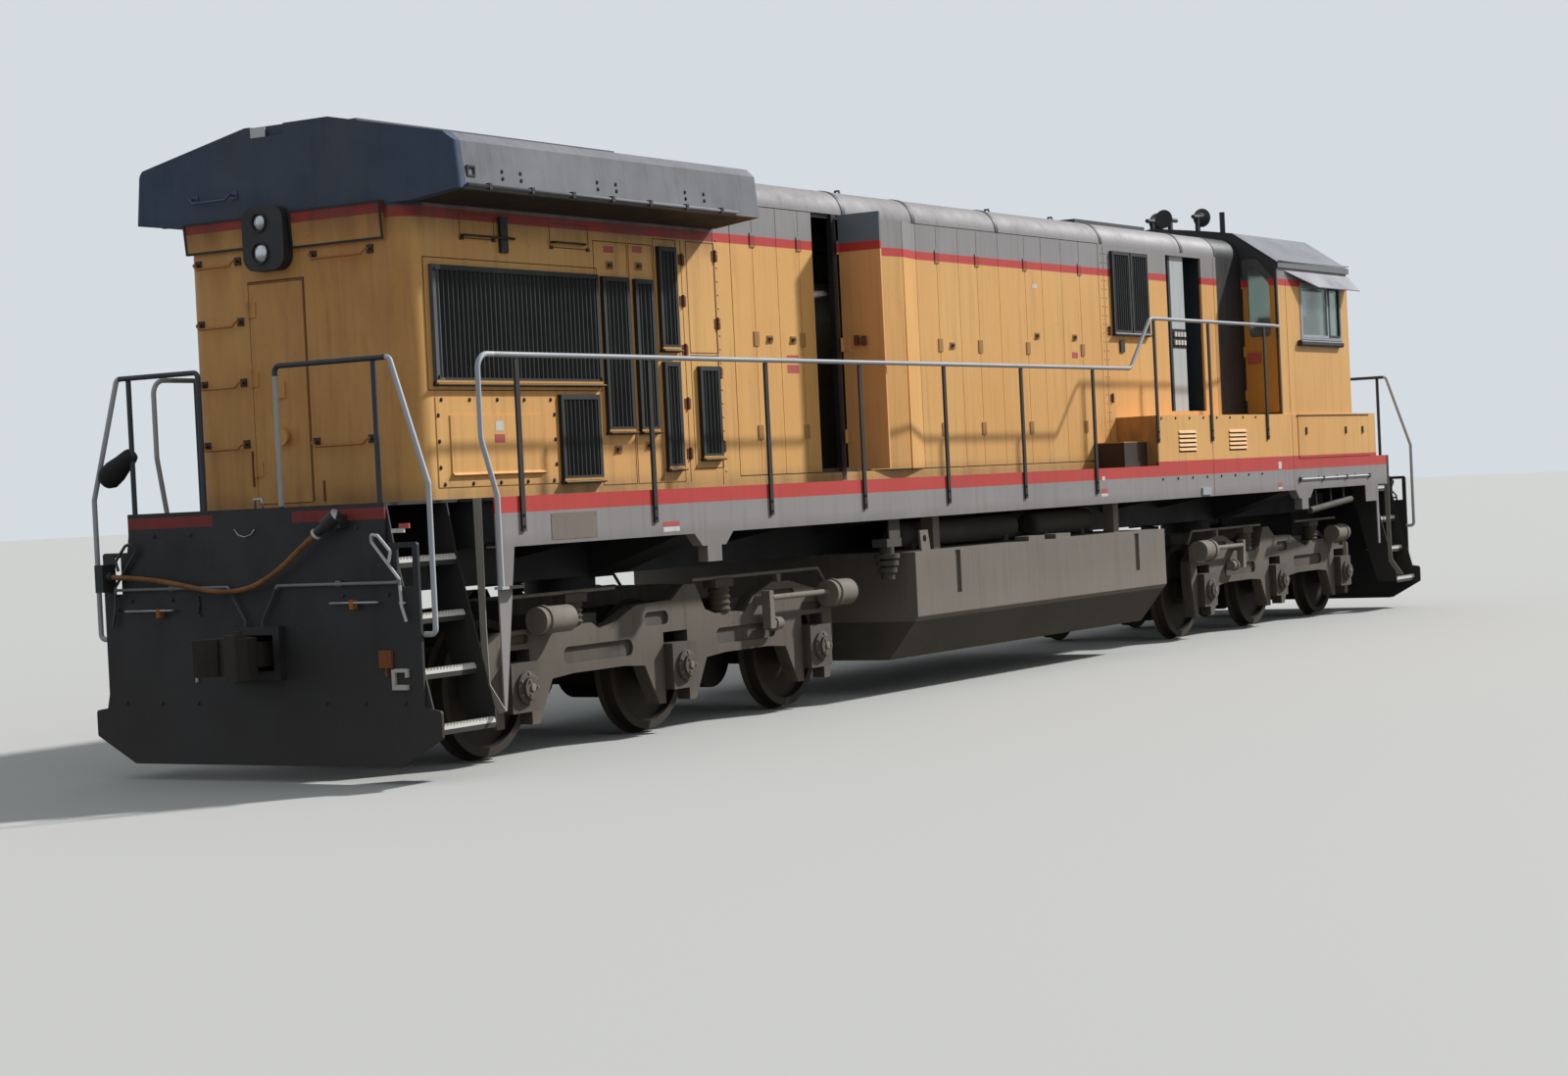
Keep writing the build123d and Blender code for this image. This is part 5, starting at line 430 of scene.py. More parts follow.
# Laminated cab glass: clear with a faint green tint and road film. grain is in millimetres; film is where
# the film starts, where it is full, and the roughness at both
cabPane = {
    "tint": "#c4d2cc", "transmission": 0.85, "ior": 1.45, "grain": 300, "detail": 4.0,
    "film": (0.3, 0.7, 0.03, 0.16)}


def makeGlass(name):
    material, tree, shader = newMaterial(name)
    where = addNode(tree, "TexCoord", output="Object")
    shader.inputs["Base Color"].default_value = linear(cabPane["tint"])
    shader.inputs["Transmission Weight"].default_value = cabPane["transmission"]
    shader.inputs["IOR"].default_value = cabPane["ior"]
    film = patches(tree, where, cabPane["grain"], detail=cabPane["detail"])
    tree.links.new(addNode(tree, "MapRange", (film, *cabPane["film"])), shader.inputs["Roughness"])
    return material


# Sealed beam lamp: silvered bowl behind moulded ribs, which break the light into upright lines. ribs are
# their pitch in millimetres, strength and depth
beam = {
    "metallic": 0.75, "coat": 0.8, "roughness": 0.22, "clean": "#d3dadd", "filmed": "#8d9498", "grain": 60,
    "detail": 4.0, "film": (0.3, 0.8), "ribs": (9, 0.35, 0.003)}


def makeLampGlass(name):
    material, tree, shader = newMaterial(name)
    where = addNode(tree, "TexCoord", output="Object")
    shader.inputs["Metallic"].default_value = beam["metallic"]
    shader.inputs["Coat Weight"].default_value = beam["coat"]
    shader.inputs["Roughness"].default_value = beam["roughness"]
    film = patches(tree, where, beam["grain"], detail=beam["detail"])
    tones = {0: addNode(tree, "MapRange", (film, *beam["film"])), 6: linear(beam["clean"]),
             7: linear(beam["filmed"])}
    tree.links.new(addNode(tree, "Mix", tones, 2, data_type="RGBA"), shader.inputs["Base Color"])
    addRibs(tree, shader, where, *beam["ribs"])
    return material


# Rubber sheathed cable, faded to brown, its braid showing as rings under the dust. The rings, pitch in
# millimetres, strength and depth, are coarser than the real braid so that they show
sheath = {
    "roughness": 0.7, "new": "#6e4522", "faded": "#9a6a38", "dirt": "#3c2a1a", "grain": (120, 35),
    "detail": (5.0, 4.0), "spread": ((0.3, 0.7), (0.55, 0.75, 0.0, 0.6)), "rings": (12, 0.3, 0.002)}


def makeCableRubber(name):
    material, tree, shader = newMaterial(name)
    where = addNode(tree, "TexCoord", output="Object")
    shader.inputs["Roughness"].default_value = sheath["roughness"]
    colour = linear(sheath["new"])
    for grain, detail, spread, tone in zip(sheath["grain"], sheath["detail"], sheath["spread"],
                                           (sheath["faded"], sheath["dirt"])):
        share = addNode(tree, "MapRange", (patches(tree, where, grain, detail=detail), *spread))
        colour = addNode(tree, "Mix", {0: share, 6: colour, 7: linear(tone)}, 2, data_type="RGBA")
    tree.links.new(colour, shader.inputs["Base Color"])
    addRibs(tree, shader, where, *sheath["rings"])
    return material


cabGlass = makeGlass("cabGlass")
lampGlass = makeLampGlass("lampGlass")
cableRubber = makeCableRubber("cableRubber")
print("materials made")

# The finish of each CAD piece; what stands at both ends or on both sides is added below
finishes = {
    "underframe": fittingsEnamel, "side_sills": skirtEnamel, "handrail_rear": endRailTube,
    "handrail_front": frontRailTube, "fuel_tank": tankPlate, "underfloor_gear": gearEnamel,
    "radiator_hood": radiatorEnamel, "radiator_grilles": slatEnamel, "radiator_wings": wingEnamel,
    "engine_hood_frame": engineEnamel, "engine_hood_roof": roofEnamel, "engine_door_leaf": leafShadeEnamel,
    "hood_trim": trimEnamel, "engine_block": machineEnamel, "roof_fittings": stackEnamel,
    "equipment_hood": equipmentEnamel, "brake_grilles": brakeSlatEnamel, "electrical_cabinet": cabinetEnamel,
    "raised_boxes": boxEnamel, "cab_base": yellowEnamel, "cab_walls": cabEnamel,
    "cab_roof": cabRoofEnamel, "cab_glass": cabGlass, "cab_interior": seatVinyl,
    "short_hood": yellowEnamel, "end_door": endDoorEnamel, "jumper_sockets": fittingsEnamel,
    "jumper_cable": cableRubber}
bothEnds = {
    "pilot": pilotEnamel, "steps": stepEnamel, "lamps": fittingsEnamel, "coupler": couplerSteel,
    "cab_door": cabDoorShadeEnamel, "truck_frame": castSteel, "axle_boxes": axleSteel,
    "truck_springs": springSteel, "traction_motors": motorSteel, "truck_brakes": brakeSteel}
bothSides = {"handrail": sideRailTube, "hood_doors": hoodEnamel}


def dressNodes():
    for places, made in ((("rear", "front"), bothEnds), (("left", "right"), bothSides)):
        for place in places:
            finishes.update({f"{piece}_{place}": finish for piece, finish in made.items()})
    for end in ("rear", "front"):
        finishes[f"cab_door_{end}_glass"] = cabGlass
    for number in range(1, 7):
        finishes[f"wheelset_{number}"] = wheelSteel
    for name, node in nodes.items():
        node.data.materials.clear()
        node.data.materials.append(finishes[name])


dressNodes()
print("finishes on", len(nodes), "CAD pieces")


def addBox(mesh, low, high):
    corners = [mesh.verts.new((x, y, z)) for x in (low[0], high[0]) for y in (low[1], high[1])
               for z in (low[2], high[2])]
    for face in ((0, 1, 3, 2), (4, 6, 7, 5), (0, 4, 5, 1), (2, 3, 7, 6), (0, 2, 6, 4), (1, 5, 7, 3)):
        mesh.faces.new([corners[i] for i in face])


def addSideBox(mesh, side, wall, spanX, spanZ, proud, sunk=0.002):
    # a plate on a side wall, wall being its distance from the middle line; sunk lets it into the wall
    near, far = sorted((side * (wall - sunk), side * (wall + proud)))
    addBox(mesh, (spanX[0], near, spanZ[0]), (spanX[1], far, spanZ[1]))


def addRearBox(mesh, wall, spanY, spanZ, proud, sunk=0.002):
    # a plate on a wall that faces the rear, wall being its x
    addBox(mesh, (wall - proud, spanY[0], spanZ[0]), (wall + sunk, spanY[1], spanZ[1]))


def span(centre, size):
    return centre - size / 2, centre + size / 2


def strips(across, rise, width):
    # the four strips of a flat frame, each as (across, rise)
    (a0, a1), (z0, z1) = across, rise
    between = (a0 + width, a1 - width)
    return (((a0, a0 + width), rise), ((a1 - width, a1), rise), (between, (z0, z0 + width)),
            (between, (z1 - width, z1)))


def addRings(mesh, rings):
    # closes a stack of rings of points into one solid
    made = [[mesh.verts.new(point) for point in ring] for ring in rings]
    count = len(made[0])
    for low, high in zip(made, made[1:]):
        for i in range(count):
            j = (i + 1) % count
            mesh.faces.new((low[i], low[j], high[j], high[i]))
    mesh.faces.new(list(reversed(made[0])))
    mesh.faces.new(made[-1])


def circle(centre, axis, radius, sides):
    axis = Vector(axis).normalized()
    across = Vector((0, 0, 1)) if abs(axis.z) < 0.9 else Vector((1, 0, 0))
    first = axis.cross(across).normalized()
    second = axis.cross(first)
    turns = [2 * math.pi * i / sides for i in range(sides)]
    return [Vector(centre) + (first * math.cos(t) + second * math.sin(t)) * radius for t in turns]


def addTurned(mesh, place, axis, profile, sides=12):
    # profile rows are (reach along the axis, radius)
    axis = Vector(axis).normalized()
    addRings(mesh, [circle(Vector(place) + axis * reach, axis, radius, sides) for reach, radius in profile])


def addBolt(mesh, place, axis, radius, height):
    # a hexagon head on its washer
    addTurned(mesh, place, axis, ((-0.002, radius * 1.5), (0.002, radius * 1.5)), 10)
    addTurned(mesh, place, axis, ((0.001, radius), (height * 0.75, radius), (height, radius * 0.8)), 6)


def addRivet(mesh, place, axis, radius, height):
    addTurned(mesh, place, axis, ((-0.001, radius), (height * 0.6, radius * 0.8), (height, radius * 0.4)), 8)


def addPipe(mesh, points, radius, sides=10):
    # a bent rod through points, mitred at each bend
    points = [Vector(point) for point in points]
    rings = []
    for i, point in enumerate(points):
        before = (point - points[i - 1]).normalized() if i else (points[1] - point).normalized()
        after = (points[i + 1] - point).normalized() if i + 1 < len(points) else before
        axis = (before + after).normalized()
        rings.append(circle(point, axis, radius / max(0.5, axis.dot(before)), sides))
    addRings(mesh, rings)


def makePiece(name, mesh, material, body="root", smooth=False):
    data = bpy.data.meshes.new(name)
    bmesh.ops.recalc_face_normals(mesh, faces=mesh.faces)
    mesh.to_mesh(data)
    mesh.free()
    data.materials.append(material)
    for face in data.polygons:
        face.use_smooth = smooth
    piece = addObject(name, data)
    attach(piece, body)


# The jumper cable hangs across the rear pilot from the left socket to the plug in the right one.
# columns of route: y, z
cable = {
    "x": -9.870, "radius": 0.019, "length": 2.045,
    "route": (
        (1.300, 1.478), (1.137, 1.468), (0.940, 1.452), (0.740, 1.427), (0.540, 1.390), (0.350, 1.357),
        (0.165, 1.347), (-0.015, 1.369), (-0.190, 1.432), (-0.360, 1.530), (-0.505, 1.637),
        (-0.640, 1.722))}


def makeCable():
    data = bpy.data.curves.new("jumperCable", "CURVE")
    data.dimensions = "3D"
    data.bevel_depth = cable["radius"]
    data.bevel_resolution = 6
    data.resolution_u = 12
    data.use_fill_caps = True
    line = data.splines.new("NURBS")
    line.points.add(len(cable["route"]) - 1)
    for point, (y, z) in zip(line.points, cable["route"]):
        point.co = (cable["x"], y, z, 1)
    line.order_u = 3
    line.use_endpoint_u = True
    data.materials.append(cableRubber)
    piece = addObject("jumperCable", data)
    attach(piece, "root")
    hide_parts("jumper_cable")
    y, z = cable["route"][0]


makeCable()
print("jumper cable hung")

# Distances of side faces from the middle line: hood, its lower panels, its large grille, and the skirts
hoodFace, panelFace, grilleFace, skirtFace = 1.061, 1.067, 1.095, 1.518
# Bolt and rivet heads on both sides: radius and height of each kind
# columns of rows: first x, first z, last x, last z, how many, distance of the face
bolts = {
    "head": (0.011, 0.010), "rivet": (0.012, 0.006), "footHead": (0.009, 0.010),
    "rivetRows": (
        (1.992, 2.05, 1.992, 4.15, 24, hoodFace), (2.076, 2.05, 2.076, 4.15, 24, hoodFace),
        (-5.300, 2.05, -5.300, 4.15, 20, hoodFace)),
    "headRows": (
        (2.300, 2.415, 5.200, 2.415, 9, skirtFace), (2.279, 1.782, 4.957, 1.782, 8, skirtFace),
        (-8.950, 2.630, -7.660, 2.630, 5, panelFace), (-8.950, 2.030, -7.660, 2.030, 5, panelFace),
        (-8.990, 2.150, -8.990, 2.520, 3, panelFace), (-7.620, 2.150, -7.620, 2.520, 3, panelFace),
        (-8.990, 2.790, -8.990, 3.550, 2, grilleFace), (-7.030, 2.790, -7.030, 3.550, 2, grilleFace)),
    # two bolts in the foot of each post of the side rails: x, z of the foot
    "posts": [(x, 1.675) for x in (-8.668, -7.019, -5.369, -3.870, -2.376, -0.864, 0.691)]
             + [(x, 2.160) for x in (2.194, 3.598, 5.166)],
    "postFace": 1.536, "postRises": (0.035, 0.115)}
# The wings over the radiators: upper and lower edge of their leaning side as (distance, z), pairs of bolts
# on it, a conduit along its lower edge in clips (width, height, thickness), and an inspection plate near the
# rear (x rear, x front, z low, z high)
wing = {
    "edges": ((1.495, 4.400), (1.531, 4.070)), "lean": 0.1,
    "boltPairs": (-8.703, -8.489, -7.556, -7.320, -6.395, -6.135), "boltLevels": (4.160, 4.211),
    "conduit": {"z": 4.092, "rear": -9.140, "front": -5.690, "radius": 0.013, "gap": 0.003}, "clips": 7,
    "clip": (0.032, 0.044, 0.004), "plate": (-9.110, -9.020, 4.150, 4.230), "plateEdge": 0.014,
    "plateThick": 0.006}


def wingSide(z):
    # distance of the wing's leaning side from the middle line at some height
    (high, highZ), (low, lowZ) = wing["edges"]
    return high + (highZ - z) * (low - high) / (highZ - lowZ)


def makeBolts():
    heads, rivets = bmesh.new(), bmesh.new()
    for side in (-1, 1):
        for rows, mesh, add, size in ((bolts["headRows"], heads, addBolt, bolts["head"]),
                                      (bolts["rivetRows"], rivets, addRivet, bolts["rivet"])):
            for x0, z0, x1, z1, count, face in rows:
                for i in range(count):
                    share = i / (count - 1)
                    place = (x0 + (x1 - x0) * share, side * face, z0 + (z1 - z0) * share)
                    add(mesh, place, (0, side, 0), *size)
        for x in wing["boltPairs"]:
            for z in wing["boltLevels"]:
                addBolt(heads, (x, side * wingSide(z), z), (0, side, wing["lean"]), *bolts["head"])
        for x, foot in bolts["posts"]:
            for rise in bolts["postRises"]:
                addBolt(heads, (x, side * bolts["postFace"], foot + rise), (0, side, 0), *bolts["footHead"])
    makePiece("boltHeads", heads, fittingsEnamel)
    makePiece("rivetHeads", rivets, hoodEnamel)


def makeWingFittings():
    pale, dark = bmesh.new(), bmesh.new()
    conduit = wing["conduit"]
    radius, z, length = conduit["radius"], conduit["z"], conduit["front"] - conduit["rear"]
    clipWidth, clipHeight, clipThick = wing["clip"]
    x0, x1, z0, z1 = wing["plate"]
    for side in (-1, 1):
        y = side * (wingSide(z) + radius + conduit["gap"])
        addPipe(pale, [(conduit["rear"], y, z), (conduit["front"], y, z)], radius)
        for i in range(wing["clips"]):
            x = conduit["rear"] + length * (i + 0.5) / wing["clips"]
            addSideBox(
                dark, side, wingSide(z), span(x, clipWidth), span(z, clipHeight),
                2 * radius + conduit["gap"] + clipThick, clipThick)
        for spanX, spanZ in strips((x0, x1), (z0, z1), wing["plateEdge"]):
            addSideBox(dark, side, wingSide(z0), spanX, spanZ, wing["plateThick"], wing["plateThick"])
    makePiece("wingConduits", pale, wingEnamel, smooth=True)
    makePiece("wingClips", dark, fittingsEnamel)


makeBolts()
makeWingFittings()
print("bolts, rivets and wing fittings made")

# Door outlines on the radiator section. columns of outlines: x rear, x front, z bottom, z top
seams = {
    "width": 0.007, "proud": 0.0015,
    "outlines": (
        (-9.076, -6.985, 2.695, 3.640), (-8.643, -8.239, 3.787, 3.968), (-7.569, -7.075, 3.768, 3.954),
        (-7.020, -6.570, 1.975, 3.850), (-6.555, -6.225, 1.975, 3.850), (-6.210, -5.890, 1.975, 3.905),
        (-5.745, -5.330, 2.075, 2.990), (-5.745, -5.330, 3.005, 3.905)),
    # upright joints: x, z bottom, z top, distance of the face
    "joints": (
        (3.611, 1.580, 2.440, skirtFace), (5.915, 1.580, 2.440, skirtFace),
        (7.944, 1.940, 2.440, skirtFace), (5.944, 2.470, 4.090, 1.497), (-5.345, 1.940, 4.230, hoodFace),
        (2.034, 1.940, 4.230, hoodFace), (5.200, 2.460, 4.230, hoodFace), (4.900, 2.460, 4.230, hoodFace),
        (-5.820, 1.975, 3.905, hoodFace))}
# Knuckles of the hinges along the upright joints: x, and z of each one's foot
knuckles = {
    "columns": (
        (-5.820, (2.15, 2.55, 2.98, 3.37, 3.70)), (-5.330, (2.20, 2.80, 3.20, 3.75)),
        (2.110, (2.60, 3.30))),
    "profile": ((0, 0.009), (0.002, 0.011), (0.098, 0.011), (0.10, 0.009)), "proud": 0.009,
    "leaf": {"width": 0.084, "low": 0.010, "high": 0.090, "proud": 0.005}}


def makeSeams():
    lines, hinges = bmesh.new(), bmesh.new()
    leaf = knuckles["leaf"]
    for side in (-1, 1):
        for x0, x1, z0, z1 in seams["outlines"]:
            for spanX, spanZ in strips((x0, x1), (z0, z1), seams["width"]):
                addSideBox(lines, side, hoodFace, spanX, spanZ, seams["proud"], sunk=0.001)
        for x, z0, z1, face in seams["joints"]:
            addSideBox(lines, side, face, span(x, seams["width"]), (z0, z1), seams["proud"], sunk=0.001)
        for x, feet in knuckles["columns"]:
            for z in feet:
                foot = (x, side * (hoodFace + knuckles["proud"]), z)
                addTurned(hinges, foot, (0, 0, 1), knuckles["profile"], 10)
                addSideBox(
                    hinges, side, hoodFace, span(x, leaf["width"]), (z + leaf["low"], z + leaf["high"]),
                    leaf["proud"], sunk=0.001)
    makePiece("doorSeams", lines, seamRust)
    makePiece("hingeKnuckles", hinges, seamRust)


makeSeams()
print("seams and hinges made")

# Blank notices on the right side. columns: x, z of the middle, width, height, distance of the face
lidFace = hoodFace + 0.014
notices = {
    "thick": 0.0015,
    "red": (
        (-4.180, 2.893, 0.190, 0.070, hoodFace), (-4.180, 3.000, 0.190, 0.020, hoodFace),
        (-6.814, 3.788, 0.130, 0.050, hoodFace), (-6.428, 3.806, 0.130, 0.050, hoodFace),
        (1.277, 3.085, 0.130, 0.060, hoodFace), (-8.305, 2.350, 0.120, 0.060, lidFace),
        (-6.805, 1.660, 0.220, 0.036, skirtFace), (0.863, 1.700, 0.150, 0.045, skirtFace),
        (5.476, 1.645, 0.120, 0.050, skirtFace)),
    "white": (
        (-6.805, 1.618, 0.220, 0.036, skirtFace), (0.863, 1.660, 0.150, 0.030, skirtFace),
        (5.476, 1.605, 0.120, 0.026, skirtFace), (5.497, 1.865, 0.090, 0.080, skirtFace),
        (0.853, 1.824, 0.070, 0.040, skirtFace), (-8.305, 2.440, 0.090, 0.070, lidFace),
        (-4.180, 2.965, 0.150, 0.014, hoodFace), (0.433, 3.755, 0.110, 0.040, hoodFace)),
    # a plain worn plate on the skirt with a rivet in each corner: x rear, x front, z low, z high
    "plate": (-8.332, -7.771, 1.600, 1.790), "plateThick": 0.003, "inset": 0.02, "rivet": (0.006, 0.003),
    # the one on the lower panel of the rear cab door: y and z
    "door": ((-1.283, -1.126), (3.050, 3.160))}


def makeNotices():
    for colour, material, slot in (("red", redEnamel, "cable_rubber"),
                                   ("white", whiteEnamel, "silver_paint")):
        mesh = bmesh.new()
        for x, z, width, height, face in notices[colour]:
            addSideBox(mesh, -1, face, span(x, width), span(z, height), notices["thick"], sunk=0.001)
        makePiece(f"{colour}Notices", mesh, material)
    mesh = bmesh.new()
    x0, x1, z0, z1 = notices["plate"]
    addSideBox(mesh, -1, skirtFace, (x0, x1), (z0, z1), notices["plateThick"], sunk=0.001)
    for x in (x0 + notices["inset"], x1 - notices["inset"]):
        for z in (z0 + notices["inset"], z1 - notices["inset"]):
            addRivet(mesh, (x, -skirtFace - notices["plateThick"], z), (0, -1, 0), *notices["rivet"])
    makePiece("skirtPlate", mesh, plateEnamel)
    mesh = bmesh.new()
    addRearBox(mesh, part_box("cab_door_rear")[0][0], *notices["door"], notices["thick"])
    makePiece("doorNotice", mesh, redEnamel, body="cab_door_rear")


makeNotices()
print("blank notices laid")

# Lamp lenses, one above the other at each end. columns: y, z, radius inside the bezel
lamps = {
    "rear": ((0.215, 3.975, 0.061), (0.215, 3.755, 0.071)),
    "front": ((0.0, 4.295, 0.071), (0.0, 4.505, 0.071)), "rearBezel": -9.328, "frontSetBack": 0.012,
    "setBack": 0.012, "swell": 0.016, "fit": 0.985, "rings": 7, "sunk": 0.004}


def makeLamps():
    mesh = bmesh.new()
    bezels = {"rear": lamps["rearBezel"], "front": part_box("lamps_front")[1][0] - lamps["frontSetBack"]}
    turns = [math.pi / 2 * i / lamps["rings"] for i in range(lamps["rings"])]
    for end, way in (("rear", -1), ("front", 1)):
        start = bezels[end] - way * lamps["setBack"]
        for y, z, radius in lamps[end]:
            radius *= lamps["fit"]
            dome = [(lamps["swell"] * math.sin(t), radius * math.cos(t)) for t in turns]
            addTurned(mesh, (start, y, z), (way, 0, 0), [(-lamps["sunk"], radius)] + dome, 32)
    makePiece("lampLenses", mesh, lampGlass, smooth=True)


makeLamps()
print("lamps glazed")

# Steps: a white serrated nosing on each tread. columns: z of the tread, its outer edge from the middle line
treads = {
    "rows": ((1.520, 1.262), (1.130, 1.318), (0.755, 1.392), (0.380, 1.540)), "inner": 9.118,
    "outer": 9.752, "teeth": 18, "tooth": 0.020, "toothShare": 0.32, "depth": 0.030, "proud": 0.002,
    "low": 0.012, "top": 0.009}
# A pale upright edge plate at the inner side of each stairwell: y, z round its outline
stepPlate = {
    "x": 9.100, "thick": 0.008,
    "outline": (
        (1.429, 1.925), (1.500, 1.925), (1.490, 1.032), (1.498, 0.627), (1.630, 0.440), (1.570, 0.424),
        (1.447, 0.600), (1.436, 1.032))}


def makeTreads():
    mesh = bmesh.new()
    pitch = (treads["outer"] - treads["inner"]) / treads["teeth"]
    corners = [(end, side) for end in (-1, 1) for side in (-1, 1)]
    for end, side, z, y in [(*corner, *row) for corner in corners for row in treads["rows"]]:
        xs = sorted((end * treads["inner"], end * treads["outer"]))
        foot = z + treads["top"]
        addSideBox(mesh, side, y, xs, (z - treads["low"], foot), treads["proud"], treads["depth"])
        for i in range(treads["teeth"]):
            x = xs[0] + pitch * (i + 0.5)
            half = pitch * treads["toothShare"]
            tooth = ((x - half, foot), (x + half, foot), (x, foot + treads["tooth"]))
            addRings(mesh, [[Vector((x, side * reach, z)) for x, z in tooth]
                            for reach in (y - treads["depth"], y + treads["proud"])])
    makePiece("treadNosings", mesh, nosingEnamel)


def makeStepPlates():
    mesh = bmesh.new()
    for end in (-1, 1):
        for side in (-1, 1):
            addRings(mesh, [[Vector((end * x, side * y, z)) for y, z in stepPlate["outline"]]
                            for x in (stepPlate["x"], stepPlate["x"] + stepPlate["thick"])])
    makePiece("stepPlates", mesh, stepPlateEnamel)


makeTreads()
makeStepPlates()
print("steps edged")

# Small things on the rear pilot. columns: y low, y high, z low, z high, how far it stands off the plate
pilotFittings = {
    "face": -9.790, "bars": ((0.583, 0.599, 0.709, 0.957, 0.016), (0.240, 0.257, 0.708, 0.937, 0.016)),
    "rusty": ((-1.215, -1.105, 0.800, 0.920, 0.020), (-1.170, -1.150, 0.740, 0.800, 0.012)),
    "pale": (
        (-1.345, -1.213, 0.650, 0.685, 0.024), (-1.240, -1.213, 0.685, 0.790, 0.024),
        (-1.350, -1.240, 0.770, 0.794, 0.024), (-1.351, -1.330, 0.735, 0.770, 0.024)),
    # bolts on both pilots, mirrored: z, distance from the middle line
    "bolts": (
        (1.760, 0.95), (1.760, 0.60), (1.300, 1.20), (1.300, 0.80), (0.560, 1.30), (0.560, 0.95),
        (0.560, 0.60)),
    "boltHead": (0.014, 0.014),
    # bent rods: how far off the plate, radius, and y, z of their points
    "clip": (0.008, 0.006, ((0.540, 1.322), (0.530, 1.260), (0.545, 1.191), (0.520, 1.180))),
    "chain": (
        0.006, 0.004, ((0.162, 1.786), (0.130, 1.745), (0.073, 1.729), (0.010, 1.745), (-0.024, 1.780))),
    "hook": (-0.060, 0.009, ((0.020, 1.925), (0.020, 1.990), (-0.050, 1.990), (-0.050, 1.925))),
    # grab irons: y from, y to, z; how far in and out they reach, and their radius
    "irons": ((1.224, 0.774, 1.226), (-0.718, -1.124, 1.250)), "ironReach": (0.002, 0.045, 0.006),
    # amber clips on the irons: y, z of the middle
    "amber": ((0.901, 1.207), (-0.909, 1.238)), "amberSize": (0.032, 0.064, 0.052),
    # the ring round the cable's plug, from just beyond the cable's end
    "plugRing": ((0.004, 0.036), (0.008, 0.040), (0.024, 0.040), (0.028, 0.036))}


def makePilotFittings():
    face = pilotFittings["face"]
    for group, material, slot in (("bars", whiteEnamel, "silver_paint"), ("rusty", rustSteel, "truck_paint"),
                                  ("pale", whiteEnamel, "silver_paint")):
        mesh = bmesh.new()
        for y0, y1, z0, z1, reach in pilotFittings[group]:
            addRearBox(mesh, face, (y0, y1), (z0, z1), reach)
        makePiece(f"pilot{group.capitalize()}", mesh, material)
    dark, bright = bmesh.new(), bmesh.new()
    for rod, mesh, sides in (("clip", dark, 8), ("hook", bright, 10), ("chain", bright, 8)):
        off, radius, points = pilotFittings[rod]
        addPipe(mesh, [(face - off, y, z) for y, z in points], radius, sides)
    for z, y in pilotFittings["bolts"]:
        for side in (-1, 1):
            for end in (-1, 1):
                addBolt(dark, (-end * face, side * y, z), (end, 0, 0), *pilotFittings["boltHead"])
    sunk, reach, radius = pilotFittings["ironReach"]
    inner, outer = face + sunk, face - reach
    for y0, y1, z in pilotFittings["irons"]:
        addPipe(bright, [(inner, y0, z), (outer, y0, z), (outer, y1, z), (inner, y1, z)], radius, 8)
    makePiece("pilotBolts", dark, fittingsEnamel)
    makePiece("pilotHook", bright, aluminium, smooth=True)
    mesh = bmesh.new()
    width, height, reach = pilotFittings["amberSize"]
    for y, z in pilotFittings["amber"]:
        addRearBox(mesh, face, span(y, width), span(z, height), reach)
    makePiece("pilotAmber", mesh, amberRust)
    mesh = bmesh.new()
    (y0, z0), (y1, z1) = cable["route"][-2:]
    addTurned(mesh, (cable["x"], y1, z1), (0, y1 - y0, z1 - z0), pilotFittings["plugRing"], 24)
    makePiece("plugRing", mesh, whiteEnamel, smooth=True)


# A black rubber boot hangs on the left post of the rear end rail, from one y, z to the other, and a clip in
# two colours sits on the lever's bracket: y low, y high, z low, z high
boot = {
    "x": -9.745, "from": (1.160, 2.365), "to": (1.455, 2.170),
    "profile": (
        (0.0, 0.030), (0.012, 0.052), (0.035, 0.060), (0.12, 0.070), (0.22, 0.088), (0.30, 0.088),
        (0.340, 0.066), (0.354, 0.030))}
bracketClip = {"proud": 0.016, "white": (-1.374, -1.266, 1.716, 1.744), "red": (-1.420, -1.335, 1.744, 1.778)}


def makeBootAndClip():
    mesh = bmesh.new()
    (y0, z0), (y1, z1) = boot["from"], boot["to"]
    addTurned(mesh, (boot["x"], y0, z0), (0, y1 - y0, z1 - z0), boot["profile"], 28)
    makePiece("railBoot", mesh, bootRubber, smooth=True)
    for colour, material, slot in (("white", whiteEnamel, "silver_paint"),
                                   ("red", redEnamel, "cable_rubber")):
        mesh = bmesh.new()
        y0, y1, z0, z1 = bracketClip[colour]
        addRearBox(mesh, pilotFittings["face"], (y0, y1), (z0, z1), bracketClip["proud"])
        makePiece(f"bracketClip_{colour}", mesh, material)


makePilotFittings()
makeBootAndClip()
print("pilot fittings made")

# Covers of the axle boxes, which ride on their truck: a ring of bolts round each, and a plug with three.
# columns of heads: distance of the face, radius of the ring, how many, share of a step to the first, size
axles = {
    "z": 0.536, "centre": 6.220, "pitch": 2.070, "face": 1.250,
    "plug": ((-0.002, 0.030), (0.008, 0.030), (0.012, 0.024)),
    "heads": ((1.214, 0.101, 6, 0.5, (0.012, 0.014)), (1.250, 0.055, 3, 0, (0.010, 0.012)))}


def makeAxleBolts():
    for end, way in (("rear", -1), ("front", 1)):
        mesh = bmesh.new()
        for x, side in [(way * axles["centre"] + step * axles["pitch"], side) for step in (-1, 0, 1)
                        for side in (-1, 1)]:
            for face, ring, count, lead, head in axles["heads"]:
                for i in range(count):
                    turn = 2 * math.pi * (i + lead) / count
                    place = (x + ring * math.cos(turn), side * face, axles["z"] + ring * math.sin(turn))
                    addBolt(mesh, place, (0, side, 0), *head)
            addTurned(mesh, (x, side * axles["face"], axles["z"]), (0, side, 0), axles["plug"], 16)
        makePiece(f"axleBoxBolts_{end}", mesh, brakeSteel, body=f"truck_{end}")


makeAxleBolts()
print("axle boxes bolted")

